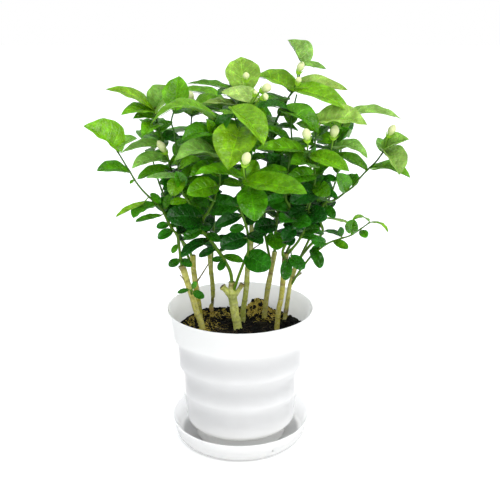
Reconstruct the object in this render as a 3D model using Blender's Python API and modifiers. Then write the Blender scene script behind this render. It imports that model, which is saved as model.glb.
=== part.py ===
"""Potted arabian jasmine: a white moulded pot on its saucer, soil, pruned canes and leafy shoots.

Blender works in metres here, +Z up. The origin is the centre of the saucer's underside and the
front of the plant faces -Y. The tables are in millimetres.
"""

import math
import random

import bmesh
import bpy
from mathutils import Matrix, Vector
from mathutils.bvhtree import BVHTree

MM = 0.001
GAP = 0.3  # between pieces that touch

STEPS = 32  # facets round a turned piece

# The pot: its rim, its tiers between the crests, its rounded base and the foot ring under it
RIM_RADIUS = 80.0
RIM_HEIGHT = 151.8
RIM_ROUND = 0.7
BRIM_DROP = 12.6  # from the rim's edge down to where the wall turns to the first crest
BRIM_INSET = 0.5
WALL = 1.9
CREST_HEIGHTS = (124.5, 92.0, 59.5, 27.0)
CREST_RADII = (77.0, 71.4, 66.1, 60.8)
TIER_DEPTH = 1.2
TIER_PARTS = (0.14, 0.5, 0.86)
TIER_POWER = 4  # the higher, the flatter the middle of a tier
BASE_ROUND = 9.4
BASE_HEIGHT = 17.0
BASE_ANGLES = (0, 30, 60, 90)
FOOT_RADIUS = 50.8
FOOT_WALL = 2.4
FLOOR_HEIGHT = 21.0
FLOOR_THICKNESS = 2.2
CORNER_HEIGHT = 5.0  # of the bevel between the floor and the inside of the wall
CORNER_WIDTH = 4.0
DRAIN_HOLES = 6
DRAIN_CIRCLE = 30.0
DRAIN_RADIUS = 2.4
DRAIN_TURN = 25
DRAIN_REACH = 6.0
NOTCH_WIDTH = 9.0
NOTCH_HEIGHT = 3.0
NOTCH_TURNS = (42, 132)

# The saucer: (radius, height) down the inside and over the rim, and the round of its outer wall
SAUCER_FLOOR = 3.0
SAUCER_INSIDE = ((0, SAUCER_FLOOR), (65.5, SAUCER_FLOOR), (69.0, 5.5), (71.6, 13.0))
SAUCER_RIM = ((75.7, 24.2), (76.8, 24.8), (78.0, 24.0))
SAUCER_FLAT = 61.0
SAUCER_ROUND = 13.0
SAUCER_ANGLES = (0, 25, 50, 72, 90)

# The soil: its level, the rings of its surface, its heaps as (across, back, height, spread), and the
# waves of its crumbs as (height, turn per mm across, turn per mm back, start)
SOIL_HEIGHT = 121.0
SOIL_RINGS = (0, 22, 41, 58)
SOIL_GAP = 0.35
HEAPS = ((20, 54, 17, 190), (-34, 50, 4, 420), (58, 22, 7, 60))
CRUMBS = ((0.45, 0.21, 0.17, 0.9), (0.45, 0.21, -0.17, 1.7), (0.5, 0.43, -0.38, 0.0))
ROOT_DEPTH = 38.0
ROOT_LEAN = 0.92  # how far out a root's end is, as a share of its top's distance

# The plant is described as it is seen from this point, against the plane through the pot's axis
EYE = Vector((10.6, -742.3, 433.9))

# Blades
BLADE = 0.7
SPARE = 0.35  # room kept on each face of a blade
FOLD = math.radians(20)
STATIONS = ((48.0, (0.15, 0.45, 0.78)), (17.0, (0.27, 0.7)), (0.0, (0.42,)))  # by least length
FOOT_POWER = 0.55  # how full a blade is at its foot and at its tip
TIP_POWER = 0.8
PETIOLE = 4.0
STALK_WIDTH = 1.6
SUNK = 0.6  # how far a stalk goes past the middle of its stem
DEPTH_SHIFTS = (0, 5, -5, 10, -10, 15, -15, 21, -21)  # tried where a blade has no room
ROLL_SHIFTS = (0, 9, -9, 18, -18)
SIZES = (1.0, 0.88)

# Woody canes: points (across, up, back, radius) of each, from the soil upwards
CANES = {
    "cane_a": [[(-42, 126, 8, 3.4), (-48, 145, 8, 3.3), (-52, 162, 7, 3.2), (-57, 178, 6, 3.3),
                (-60.5, 191, 5, 3.5), (-62.5, 197, 5, 4.2)]],
    "cane_b": [[(-44, 140, 36, 3.2), (-45, 150, 36, 3.1), (-47, 169, 35, 3.0), (-48.5, 179, 35, 3.2),
                (-50, 193, 35, 3.0), (-50.5, 208.5, 35, 3.3)]],
    "cane_c": [[(-31.7, 145.5, 52, 2.8), (-30.2, 154, 52, 1.7), (-30.2, 160, 52, 1.7),
                (-29.7, 163, 52, 2.4), (-30, 177, 52, 2.5), (-32.5, 205.5, 52, 2.5),
                (-31.7, 212.5, 52, 2.7)]],
    "cane_d": [[(-3, 124.5, 6, 4.7), (-5.5, 140, 5, 4.5), (-7, 152.5, 4, 4.5), (-8.5, 163, 4, 4.8),
                (-9, 178.5, 3, 3.5)],
               [(-7.5, 157, 4, 3.4), (-13.5, 166.5, 3, 3.1), (-19.3, 173.5, 2, 3.0)],
               [(-8, 159, 4, 2.8), (-2.5, 168, 3, 2.4), (2.5, 176, 2, 2.3)]],
    "cane_e": [[(3, 140, 30, 3.1), (5.5, 162, 30, 3.0), (7, 177, 30, 3.1), (8, 193, 30, 2.8),
                (11.5, 216.5, 30, 2.6), (12, 243, 29, 2.4)]],
    "cane_f": [[(26, 134, 36, 3.1), (28.5, 160.5, 36, 2.9), (31, 178, 36, 3.2), (33, 189, 36, 2.8),
                (35, 200.5, 36, 2.8), (37, 212.5, 36, 2.9)]],
    "cane_g": [[(40, 124, 5, 3.0), (42, 146, 5, 2.8), (44.5, 160.5, 4, 2.8), (46, 177, 4, 3.0),
                (47, 192, 3, 2.8), (48, 203, 3, 3.4), (48.5, 211, 3, 3.8)]],
    "cane_h": [[(48.5, 133, 34, 2.4), (50, 145.5, 34, 2.6), (53.5, 173, 34, 2.3), (56.5, 185, 34, 2.4),
                (59, 195, 34, 2.5)]],
}

# Leafy shoots: the cane each grows from, its stems as points (across, up, back) with the radius at
# the foot and at the tip, and its leaves as (foot), (tip), width, turn, arch. Turn is how far the
# face is rolled away from the eye, in degrees, and arch is the rise of the midrib.
SHOOTS = {
    "shoot_left": ("cane_a", [
        (1.7, 1.0, [(-62.4, 193, 5), (-63.5, 204, 3), (-65.5, 225, -4), (-67, 232, -7), (-72, 238, -10),
                    (-77, 248.5, -14), (-80.5, 257, -17), (-89.5, 267, -20), (-101, 279, -22),
                    (-108.5, 289.5, -24), (-113, 298, -25), (-119.5, 309.5, -27), (-125.5, 320.5, -28)]),
    ], [
        ((-126, 322, -29), (-158.5, 345.5, -44), 40, 46, 3),
        ((-123, 326, -27), (-104, 333, -12), 14, 40, 3),
        ((-115, 298.5, -26), (-147.4, 299.5, -42), 23, 60, 3),
        ((-109, 291, -26), (-114, 286, -30), 4, 30, 0.5),
        ((-102, 265, -24), (-130.3, 250.6, -38), 9, 45, 2),
        ((-88, 263, -20), (-112, 249.5, -36), 25, 42, 3),
        ((-84, 252, -18), (-110, 245.5, -28), 9, 50, 1),
        ((-84, 266, -18), (-93, 276, -14), 9, 30, 1),
        ((-78, 261, -15), (-72, 275, -12), 9, 30, 1),
        ((-75, 243, -14), (-88, 239, -22), 9, 20, 1),
        ((-72, 236, -12), (-87, 227, -24), 11, 20, 1.5),
        ((-66, 203, 0), (-76.5, 196.5, -7), 9.5, 15, 1),
        ((-62, 203, 0), (-52, 196, -7), 9.5, 15, 1),
        ((-66.5, 221, -5), (-72.5, 211, -10), 6.5, 10, 0.5),
    ]),
    "shoot_left_tall": ("cane_b", [
        (1.8, 1.1, [(-50.5, 204, 35), (-55, 216, 33), (-62.7, 228, 30), (-66, 250, 26), (-68, 280, 20),
                    (-72, 306, 14), (-78, 330, 8), (-84, 352, 4), (-85, 364, 3)]),
    ], [
        ((-86, 362, 2), (-134, 382, -12), 23, 66, 6),
        ((-84, 364, 2), (-64.5, 384, -14), 34, 40, 2),
        ((-86, 360, 1), (-119.7, 356.6, -22), 24, 58, 4),
        ((-85, 353, -1), (-107.8, 353, -34), 20, 50, 2),
        ((-76, 325, 8), (-121.5, 318, -14), 22, 64, 4),
        ((-77, 333, 10), (-60, 333, 32), 18, 45, 3),
        ((-75, 309, 11), (-111, 302, -12), 25, 56, 6),
        ((-74, 300, 12), (-106, 291, -2), 18, 50, 3),
        ((-82, 340, 4), (-68, 350, 24), 14, 40, 2),
    ]),
    "shoot_back_left": ("cane_c", [
        (1.7, 1.0, [(-31.9, 208, 52), (-36, 235, 58), (-44, 270, 57), (-50, 305, 52), (-50, 335, 46),
                    (-47.5, 364, 40)]),
    ], [
        ((-45, 364, 38), (-17, 371, 22), 24, 50, 4),
        ((-52, 328, 46), (-70, 330, 30), 14, 40, 2),
        ((-50, 364, 41), (-76, 372, 52), 22, 55, 4),
    ]),
    "shoot_fork": ("cane_d", [
        (2.1, 1.2, [(-9, 174, 3), (-9.5, 184.5, 2), (-11.5, 192.5, 0), (-15.2, 200, -2), (-19.6, 207.7, -4),
                    (-25.7, 217, -8), (-31, 225, -12), (-36, 231, -15), (-40.5, 236, -18),
                    (-38.3, 249, -22), (-33, 256.5, -25), (-28, 266, -28), (-24, 279, -31),
                    (-20.5, 288.5, -34), (-22, 310, -37), (-25, 338, -40), (-26, 352, -40)]),
        (1.5, 1.0, [(-38.6, 247, -21), (-48, 253.5, -24), (-52, 264, -26), (-56.5, 271.5, -28),
                    (-59.5, 276.7, -30), (-63, 300, -28), (-66, 336, -24), (-69, 350, -22),
                    (-65, 363, -21)]),
    ], [
        ((-64, 366, -21), (-60, 395, 12), 29, 12, 2),
        ((-60, 293, -31), (-97, 292, -48), 17, 66, 1),
        ((-44, 250, -26), (-77, 250, -48), 27, 20, 4),
        ((-29, 338, -43), (-59, 331, -64), 24, 50, 5),
        ((-26, 314, -41), (-67, 310, -66), 30, 52, 10),
        ((-29, 354, -41), (-90.5, 346.5, -56), 28, 66, 15),
        ((-28, 340, -46), (-34, 353, -56), 12, 20, 1),
        ((-22, 340, -46), (-6, 358, -58), 16, 25, 2),
        ((-30, 333, -36), (-58, 343, -14), 24, 50, 5),
        ((-27, 283, -38), (-55, 275, -58), 24, 25, 3),
        ((-62, 290, -32), (-70.7, 273, -40), 19, 15, 2),
        ((-56, 268, -30), (-73, 264.5, -38), 11, 40, 1.5),
        ((-60, 284, -33), (-66, 299, -40), 14, 20, 1.5),
        ((-33, 232, -17), (-21, 224, -30), 9.5, 20, 1),
        ((-42, 237, -22), (-60, 227, -34), 12, 12, 1),
        ((-16, 208, -6), (3, 201.5, -20), 10, 35, 1),
        ((-17, 202, -6), (-23, 191.5, -13), 8.5, 10, 0.5),
        ((-19.5, 205, -8), (-30, 203, -16), 7, 12, 0.5),
        ((-28, 216, -12), (-44, 207, -20), 9, 20, 1),
        ((-34, 226, -16), (-63, 206.5, -36), 15, 45, 4),
    ]),
    "shoot_front": ("cane_d", [
        (1.7, 1.1, [(-7, 168, 3), (-5.3, 174, -2), (-1.5, 185.5, -8), (2.3, 196, -14), (6, 206.3, -18),
                    (8.4, 212, -20), (8.5, 224, -23), (7.7, 236, -26), (4.5, 247, -30), (0, 262, -36),
                    (3, 280, -46), (6, 294, -52), (3, 312, -51), (-1, 338, -48), (-5, 358, -44)]),
    ], [
        ((-1, 338, -51), (-12, 300.5, -90), 46, 8, 4),
        ((-4, 360, -46), (24.5, 325.5, -82), 38, 30, 4),
        ((9, 288, -56), (69.8, 275.8, -86), 31, 48, 2),
        ((11, 279, -52), (16, 246, -80), 31, 5, 3),
        ((7, 290, -47), (17, 311, -36), 20, 12, 1),
        ((0, 293, -54), (-46, 296, -74), 26, 60, 4),
        ((0, 284, -46), (-20, 287, -32), 12, 40, 2),
        ((-3, 262, -34), (-35, 263, -8), 24, 25, 3),
        ((-3, 344, -44), (13, 334, -26), 15, 30, 2),
        ((4, 240, -28), (-11, 236, -37), 10, 15, 1),
        ((5, 228, -24), (-21, 218, -42), 20, 15, 3),
        ((9, 207, -22), (32, 194, -42), 25, 8, 3),
        ((0, 252, -33), (-26, 240, -44), 14, 25, 2),
    ]),
    "shoot_centre": ("cane_e", [
        (1.9, 1.1, [(12, 238, 29), (12.5, 256, 27), (12, 270, 26), (9, 300, 20), (5, 330, 12),
                    (2, 350, 6), (1, 366, 2), (5, 382, 0)]),
    ], [
        ((17, 374.5, -8), (-18.5, 379.5, -16), 19, 25, 1),
        ((-3, 366, 3), (-36.5, 368.5, -20), 20, 66, 1),
        ((4.5, 382, 2), (1.5, 413.5, 24), 40, 5, 0),
        ((-2, 377, 1), (-52.5, 387.5, -16), 20, 75, 4),
        ((13, 278, 22), (36, 284, 4), 20, 30, 3),
    ]),
    "shoot_top": ("cane_f", [
        (1.9, 1.1, [(36.8, 208, 36), (37.5, 230, 34), (40, 265, 30), (39, 300, 24), (33, 338, 16),
                    (35, 344.5, 14), (40, 357.5, 11), (46, 368.5, 8), (50.5, 376, 6), (54, 381, 5),
                    (59, 393, 4), (62, 406, 3)]),
    ], [
        ((62, 408, 3), (47.4, 429.5, 14), 34, 52, 1),
        ((66, 406, 1), (86.5, 401.5, -10), 12, 55, 0),
        ((51, 382, 5), (12, 393, 26), 33, 58, 5),
        ((58, 384, 8), (108.6, 381.4, 24), 27, 58, 3),
        ((57, 381, 2), (111.5, 360.3, -22), 28, 62, 5),
        ((33, 341, 14), (60, 340, -2), 18, 70, 4),
        ((36, 231, 28), (39.5, 214.5, 10), 22, 10, 2),
        ((37, 242, 30), (15, 239, 12), 19, 15, 2),
        ((40, 300, 22), (30, 318, 4), 22, 20, 2),
    ]),
    "shoot_right_top": ("cane_g", [
        (1.7, 1.0, [(46.8, 205, 2), (45.5, 213, -5), (50, 223.5, -10), (58, 240, -11), (52, 262, -15),
                    (48, 272, -18), (50, 300, -22), (53, 330, -21), (52, 350, -19), (55, 366, -16),
                    (57.5, 377, -13)]),
    ], [
        ((51, 358, -20), (11.5, 364, -40), 25, 70, 5),
        ((46, 358, -21), (80, 338, -40), 33, 40, 6),
        ((56, 238, -13), (46, 225, -26), 16, 12, 1.5),
        ((50.5, 202, -9), (49, 180.5, -17), 13, 12, 1),
        ((46, 272, -20), (24, 265, -34), 12, 25, 1.5),
        ((56, 246, -14), (75, 243, -30), 17, 25, 2),
    ]),
    "shoot_right_mid": ("cane_g", [
        (1.7, 1.0, [(48.5, 207, 3), (54, 214, 1), (60.5, 222, -2), (65, 229.8, -4), (67.5, 235, -5),
                    (71, 255, -9), (78, 289, -13), (77, 305, -15), (77, 330, -16), (79, 343, -16)]),
        (1.2, 0.8, [(77, 303, -15), (72, 311, -18), (68.5, 321, -21)]),
    ], [
        ((83, 349, -18), (129.5, 346.6, -36), 36, 46, 5),
        ((66, 320, -20), (17, 322, -46), 21, 68, 3),
        ((76, 315, -20), (113, 299, -48), 26, 42, 1.5),
        ((80, 319, -14), (99, 317, 4), 12, 60, 1.5),
        ((75, 326, -14), (57, 328, 4), 12, 50, 1.5),
        ((80, 336, -14), (91, 346, 6), 12, 35, 1),
        ((76, 296, -15), (48, 289, -34), 21, 25, 3),
        ((78, 284, -14), (94, 274, -30), 18, 15, 2),
        ((72, 256, -11), (91, 248, -28), 20, 20, 2),
        ((80, 279, -14), (53, 266, -34), 23, 25, 2),
        ((68, 247, -9), (57, 236, -24), 14, 8, 1),
        ((68.5, 236, -7), (84, 238, -18), 11, 15, 1),
        ((66, 231, -6), (81, 228, -16), 8, 20, 0.5),
        ((55, 206, -12), (69, 193.5, -22), 14, 10, 1),
    ]),
    "shoot_right": ("cane_h", [
        (1.7, 1.1, [(58.8, 190, 34), (62, 202, 33), (74, 219, 29), (87, 232.8, 26), (85.5, 243.3, 24),
                    (84, 248.5, 23), (88, 264.5, 20), (95.5, 267.5, 18), (102.5, 271.3, 16),
                    (110, 277.5, 14), (117, 282.5, 12), (123, 290.5, 10), (130, 298.7, 8),
                    (140, 309, 6), (145, 316, 5), (148, 320.5, 4)]),
    ], [
        ((148, 322, 3), (173, 332, -12), 26, 48, 1),
        ((148, 319, 2), (164.7, 295.3, -24), 34, 44, 3),
        ((147, 320, 7), (141, 334, 18), 12, 20, 1),
        ((135.5, 301.5, 6), (176.3, 292.3, -14), 23, 62, 6),
        ((129, 302, 9), (99, 318, 24), 18, 55, 2),
        ((111, 280, 13), (101, 297, -2), 18, 20, 2),
        ((91, 262, 19), (99, 249, 4), 11, 15, 1),
        ((89, 250, 22), (117, 243, 4), 12, 78, 1),
        ((119, 284, 12), (112, 296, 28), 18, 25, 1),
    ]),
    "shoot_right_inner": ("cane_g", [
        (1.6, 1.0, [(48.5, 206, 4), (50, 213, 9), (55, 224, 11), (62, 245, 12), (72, 268, 13), (82, 290, 13),
                    (88, 303, 12), (94, 321, 10), (98, 334, 8), (105, 348, 7), (109, 355, 6)]),
    ], [
        ((111, 357, 5), (163.6, 352.6, -10), 20, 61, 5),
        ((97, 323, 8), (131.3, 312.7, -10), 22, 62, 7),
        ((93, 320, 10), (71, 322, -6), 16, 60, 3),
        ((99, 333, 8), (112, 343, -4), 15, 25, 1.5),
        ((84, 291, 12), (101, 290, -2), 11, 40, 1.5),
        ((80, 280, 12), (102, 271, -6), 12, 45, 1.5),
    ]),
    "shoot_low_right": ("cane_h", [
        (1.4, 0.8, [(55.5, 176, 33.5), (60, 184, 27), (66, 194, 24), (71, 201, 22), (77, 208.5, 20),
                    (92, 221, 14), (105, 226.5, 10), (117, 230.5, 7), (128, 238, 5), (137, 245, 4)]),
    ], [
        ((135, 247, 2), (119, 247.5, -12), 9, 72, 4),
        ((117, 234, 5), (120, 248, -8), 15, 10, 1),
        ((128, 236, 3), (134, 228, -8), 10, 20, 1),
        ((139, 245.5, 2), (156.5, 234, -12), 8.5, 68, 3.5),
        ((107, 229, 9), (106, 240, 0), 8, 20, 0.5),
        ((99, 225, 11), (115, 216, -2), 10, 30, 1),
        ((91, 223, 14), (75.5, 224.5, 2), 13, 12, 1),
        ((77, 213, 18), (86, 194, 4), 15, 25, 3),
        ((76, 210, 20), (84, 219, 8), 9, 15, 1),
    ]),
    "sprig_left": ("cane_a", [
        (1.2, 0.9, [(-52.5, 164, 7), (-53, 166, 0), (-53.2, 169, -4)]),
    ], [
        ((-56, 170, -5), (-68, 166, -10), 6, 30, 0.5),
        ((-52, 171, -5), (-47.5, 179, -9), 6, 15, 0.5),
        ((-50, 167, -4), (-39.5, 160, -12), 9, 12, 1),
    ]),
    "shoot_rear_left": ("cane_b", [
        (1.7, 1.0, [(-48.8, 186, 35), (-53, 200, 46), (-62, 225, 58), (-72, 255, 72), (-84, 288, 80),
                    (-90, 318, 84), (-88, 340, 84)]),
    ], []),
    "shoot_rear": ("cane_c", [
        (1.7, 1.0, [(-30.5, 190, 52), (-30, 205, 62), (-28, 235, 76), (-26, 270, 90), (-22, 310, 98),
                    (-16, 345, 98), (-14, 366, 96)]),
    ], []),
    "shoot_rear_centre": ("cane_f", [
        (1.7, 1.0, [(34.3, 196, 36), (30, 214, 48), (24, 250, 64), (26, 285, 80), (30, 320, 88),
                    (32, 352, 90)]),
    ], []),
    "shoot_rear_right": ("cane_h", [
        (1.7, 1.0, [(57.5, 188, 34), (64, 205, 46), (76, 232, 58), (90, 262, 68), (100, 292, 74),
                    (104, 325, 76), (102, 345, 76)]),
    ], []),
}

# Flower buds: the shoot each sits on, where its stalk starts, its seat and its tip, and its diameter
BUDS = [
    ("shoot_left_tall", (-73, 304, 14), (-74.3, 316.2, 0), (-83.7, 330.8, -3), 8.8),
    ("shoot_front", (6, 290, -51), (3.9, 302.7, -84), (8.8, 318.9, -88), 9.4),
    ("shoot_centre", (5, 379, 0), (7.3, 387.8, -9), (6.5, 398.9, -10), 7.2),
    ("shoot_back_left", (-47.5, 358, 41), (-47.4, 367.5, 20), (-49.8, 380.6, 17), 7.8),
    ("shoot_top", (58.5, 390, 4), (57.8, 396, -1), (62.8, 409, -3), 8.2),
    ("shoot_top", (54, 379, 5), (56.9, 385, -9), (60.1, 394.2, -11), 6.8),
    ("shoot_right_inner", (93, 317, 10), (95.1, 330.7, -22), (97.3, 346.6, -25), 10.0),
    ("shoot_right_mid", (68.6, 319, -21), (69.8, 327.7, -46), (67.2, 343.2, -48), 9.4),
    ("shoot_right", (147.5, 319.5, 4), (150.4, 333, 0), (157.3, 347, -2), 8.4),
    ("shoot_centre", (2, 353, 5), (19.8, 379, -26), (31.8, 386, -30), 9.4),
    ("shoot_centre", (2, 352, 5), (20.5, 372.5, -36), (28.8, 376, -39), 7.4),
    ("shoot_centre", (2, 354, 5), (14, 374, -33), (17, 381, -35), 5.0),
]

# What the crown reaches as seen from the front: (up, furthest left, furthest right)
CROWN = [(195, -52, 70), (215, -60, 84), (240, -80, 94), (265, -86, 94), (290, -84, 110),
         (310, -94, 116), (340, -104, 114), (365, -104, 108), (385, -80, 92), (402, -20, 76)]
CROWN_BACK = 132.0

# The crown's openings as seen from the front, which the far leaves leave free: (across, up, half
# the width, half the height)
WINDOWS = [(73.7, 369, 18, 13), (-93, 285, 12, 9), (66, 216, 11, 9), (38, 378, 10, 7), (-60, 348, 10, 9),
           (120, 301, 8, 7), (-13, 253, 11, 7), (0, 243, 6, 12), (97, 241, 10, 5), (99.7, 281, 9, 7),
           (-93, 303.7, 14, 6), (58.7, 335.6, 7, 4.5), (-74, 341.6, 6, 6), (43.3, 348, 6, 5.5),
           (-83.7, 251.5, 6, 6), (93.4, 297, 7, 4), (26.6, 216, 7, 5), (34.3, 356, 5, 4), (-40.5, 350, 5, 4),
           (-67.5, 317, 5, 5), (-8.2, 349, 5.5, 5), (-6, 279, 10, 8), (41, 333, 6, 3), (111.7, 316.6, 7, 3)]
# Where a far leaf is looked at for that: (part of its length, share of its reach sideways)
WINDOW_PLACES = ((0.1, 0), (0.4, 1), (0.4, -1), (0.45, 0), (0.75, 0), (0.75, 0.6), (0.75, -0.6), (1, 0))
WINDOW_REACH = 0.36

# The leaves of the far side, which grow longer further up
FILL_SPACING = 30.0
FILL_FROM = 208.0
FILL_CLIMB = 170.0
FILL_LENGTHS = (34.0, 56.0)
FILL_CHANCE = (0.85, 1.1)
FILL_TWIST = 14
FILL_RISE = (-0.1, 0.4)
FILL_LEAN = 0.25
FILL_BEARINGS = (0, 16, -16, 32, -32)
FILL_WIDTH = 0.6
FILL_ARCH = 0.1
FILL_FRONT = {False: 10.0, True: 18.0}  # the least distance back of a tip, on a front and a rear shoot

# Buds
BUD_STEPS = 7
BUD_SHAPE = ((0, 1), (0.55, 0.87), (1, 0.52), (0.78, 0.22), (0.4, 0), (0, 0))
BUD_STALK = 0.8
CALYX_LENGTH = 2.6
CALYX_FOOT = 0.9
CALYX_SPREAD = 0.5  # the cup's lip, as a share of the bud's radius and then in millimetres
CALYX_LIP = 0.5

SOIL_COLOUR = (0.045, 0.028, 0.017)


def new_collection(name, hidden=False):
    made = bpy.data.collections.new(name)
    made.hide_render = hidden
    bpy.context.scene.collection.children.link(made)
    return made


def new_material(name, colour, roughness):
    made = bpy.data.materials.new(name)
    made.use_nodes = True
    made.diffuse_color = (*colour, 1)
    shader = made.node_tree.nodes["Principled BSDF"]
    shader.inputs["Base Color"].default_value = (*colour, 1)
    shader.inputs["Roughness"].default_value = roughness
    shader.inputs["Metallic"].default_value = 0.0
    return made


def new_object(name, mesh, home, finish=None):
    made = bpy.data.objects.new(name, mesh)
    home.objects.link(made)
    if finish:
        mesh.materials.append(finish)
    return made


def mesh_from(work, name):
    """The mesh of a bmesh, which is freed."""
    mesh = bpy.data.meshes.new(name)
    work.to_mesh(mesh)
    work.free()
    return mesh


def evaluated_mesh(piece):
    bpy.context.view_layer.update()
    graph = bpy.context.evaluated_depsgraph_get()
    return bpy.data.meshes.new_from_object(piece.evaluated_get(graph))


def spot(across, up, back):
    """The point in millimetres that is seen at (across, up) and lies this far behind the pot's axis."""
    reach = (back - EYE.y) / -EYE.y
    return Vector((EYE.x + (across - EYE.x) * reach, back, EYE.z + (up - EYE.z) * reach))


def seen(point):
    """Where a point in millimetres is seen, as (across, up)."""
    reach = (point.y - EYE.y) / -EYE.y
    return EYE.x + (point.x - EYE.x) / reach, EYE.z + (point.z - EYE.z) / reach


def turned(name, profile, home, finish, steps=STEPS):
    """A solid of revolution. The profile runs down the outer side, top to bottom."""
    mesh = bpy.data.meshes.new(name)
    points = [(radius * MM, 0, height * MM) for radius, height in profile]
    mesh.from_pydata(points, [(i, i + 1) for i in range(len(points) - 1)], [])
    made = new_object(name, mesh, home, finish)
    screw = made.modifiers.new("Screw", "SCREW")
    screw.axis = "Z"
    screw.steps = steps
    screw.render_steps = steps
    screw.use_merge_vertices = True
    screw.merge_threshold = 0.00001
    screw.use_smooth_shade = True
    return made


def tube(name, path, radii, home, resolution):
    """A closed mesh round a path in millimetres, with a radius at each point."""
    curve = bpy.data.curves.new(name, "CURVE")
    curve.dimensions = "3D"
    curve.bevel_depth = MM
    curve.bevel_resolution = resolution
    curve.use_fill_caps = True
    line = curve.splines.new("POLY")
    line.points.add(len(path) - 1)
    for point, place, radius in zip(line.points, path, radii):
        point.co = (*(place * MM), 1)
        point.radius = radius
    guide = bpy.data.objects.new(name + "_guide", curve)
    home.objects.link(guide)
    mesh = evaluated_mesh(guide)
    bpy.data.objects.remove(guide)
    work = bmesh.new()
    work.from_mesh(mesh)
    bmesh.ops.remove_doubles(work, verts=work.verts, dist=0.00001)
    bmesh.ops.recalc_face_normals(work, faces=work.faces)
    work.to_mesh(mesh)
    work.free()
    return new_object(name, mesh, home)


def taper(work, start, end, radius_start, radius_end, sides=4):
    """Adds a closed tapering rod between two points in millimetres."""
    along = end - start
    turn = along.to_track_quat("Z", "Y").to_matrix().to_4x4()
    place = Matrix.Translation((start + end) / 2 * MM) @ turn
    bmesh.ops.create_cone(work, cap_ends=True, segments=sides, radius1=radius_start * MM,
                          radius2=radius_end * MM, depth=along.length * MM, matrix=place)


def fuse(name, pieces, home, finish):
    """One body from several closed pieces."""
    spare = new_collection(name + "_joined")
    for piece in pieces[1:]:
        home.objects.unlink(piece)
        spare.objects.link(piece)
    if len(pieces) > 1:
        union = pieces[0].modifiers.new("Union", "BOOLEAN")
        union.operation = "UNION"
        union.operand_type = "COLLECTION"
        union.collection = spare
        union.solver = "MANIFOLD"
    mesh = evaluated_mesh(pieces[0])
    for piece in pieces:
        bpy.data.objects.remove(piece)
    bpy.data.collections.remove(spare)
    mesh.materials.clear()
    return new_object(name, mesh, home, finish)


def cut(piece, cutter, solver="EXACT"):
    cutter.hide_render = True
    cutter.display_type = "WIRE"
    slot = piece.modifiers.new("Cut " + cutter.name, "BOOLEAN")
    slot.operation = "DIFFERENCE"
    slot.object = cutter
    slot.solver = solver


def drop_scraps(piece):
    """Applies the cuts and keeps the largest of the bodies that they leave."""
    mesh = evaluated_mesh(piece)
    piece.modifiers.clear()
    piece.data = mesh
    work = bmesh.new()
    work.from_mesh(mesh)
    unseen = set(work.verts)
    islands = []
    while unseen:
        island = {unseen.pop()}
        edge_of = list(island)
        while edge_of:
            for edge in edge_of.pop().link_edges:
                for vertex in edge.verts:
                    if vertex in unseen:
                        unseen.discard(vertex)
                        island.add(vertex)
                        edge_of.append(vertex)
        islands.append(island)
    islands.sort(key=len)
    for island in islands[:-1]:
        bmesh.ops.delete(work, geom=list(island), context="VERTS")
    work.to_mesh(mesh)
    work.free()


def inside_radius(height):
    """The pot's inner radius between its corner and its top crest."""
    low, high = FLOOR_HEIGHT + CORNER_HEIGHT, CREST_HEIGHTS[0]
    foot = CREST_RADII[-1] - WALL - TIER_DEPTH
    top = CREST_RADII[0] - WALL - TIER_DEPTH
    return foot + (top - foot) * (height - low) / (high - low)


def pot_profile():
    corner = FLOOR_HEIGHT + CORNER_HEIGHT
    edge = RIM_HEIGHT - RIM_ROUND
    slope = (CREST_RADII[0] - CREST_RADII[-1]) / (CREST_HEIGHTS[0] - CREST_HEIGHTS[-1])
    brim = edge - BRIM_DROP
    points = [(0, FLOOR_HEIGHT), (inside_radius(corner) - CORNER_WIDTH, FLOOR_HEIGHT),
              (inside_radius(corner), corner), (inside_radius(CREST_HEIGHTS[0]), CREST_HEIGHTS[0]),
              (RIM_RADIUS - WALL, edge), (RIM_RADIUS - WALL / 2, RIM_HEIGHT), (RIM_RADIUS, edge),
              (CREST_RADII[0] + (brim - CREST_HEIGHTS[0]) * slope - BRIM_INSET, brim)]
    for crest in range(len(CREST_HEIGHTS) - 1):
        high, low = CREST_HEIGHTS[crest], CREST_HEIGHTS[crest + 1]
        outer, inner = CREST_RADII[crest], CREST_RADII[crest + 1]
        points.append((outer, high))
        for part in TIER_PARTS:
            dip = TIER_DEPTH * (1 - (2 * part - 1) ** TIER_POWER)
            points.append((outer + (inner - outer) * part - dip, high + (low - high) * part))
    centre = (CREST_RADII[-1] - BASE_ROUND, BASE_HEIGHT + BASE_ROUND)
    for degrees in BASE_ANGLES:
        angle = math.radians(degrees)
        points.append((centre[0] + BASE_ROUND * math.cos(angle), centre[1] - BASE_ROUND * math.sin(angle)))
    stand = SAUCER_FLOOR + GAP
    under = FLOOR_HEIGHT - FLOOR_THICKNESS
    points += [(FOOT_RADIUS, BASE_HEIGHT), (FOOT_RADIUS, stand), (FOOT_RADIUS - FOOT_WALL, stand),
               (FOOT_RADIUS - FOOT_WALL, under), (0, under)]
    return points


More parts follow.
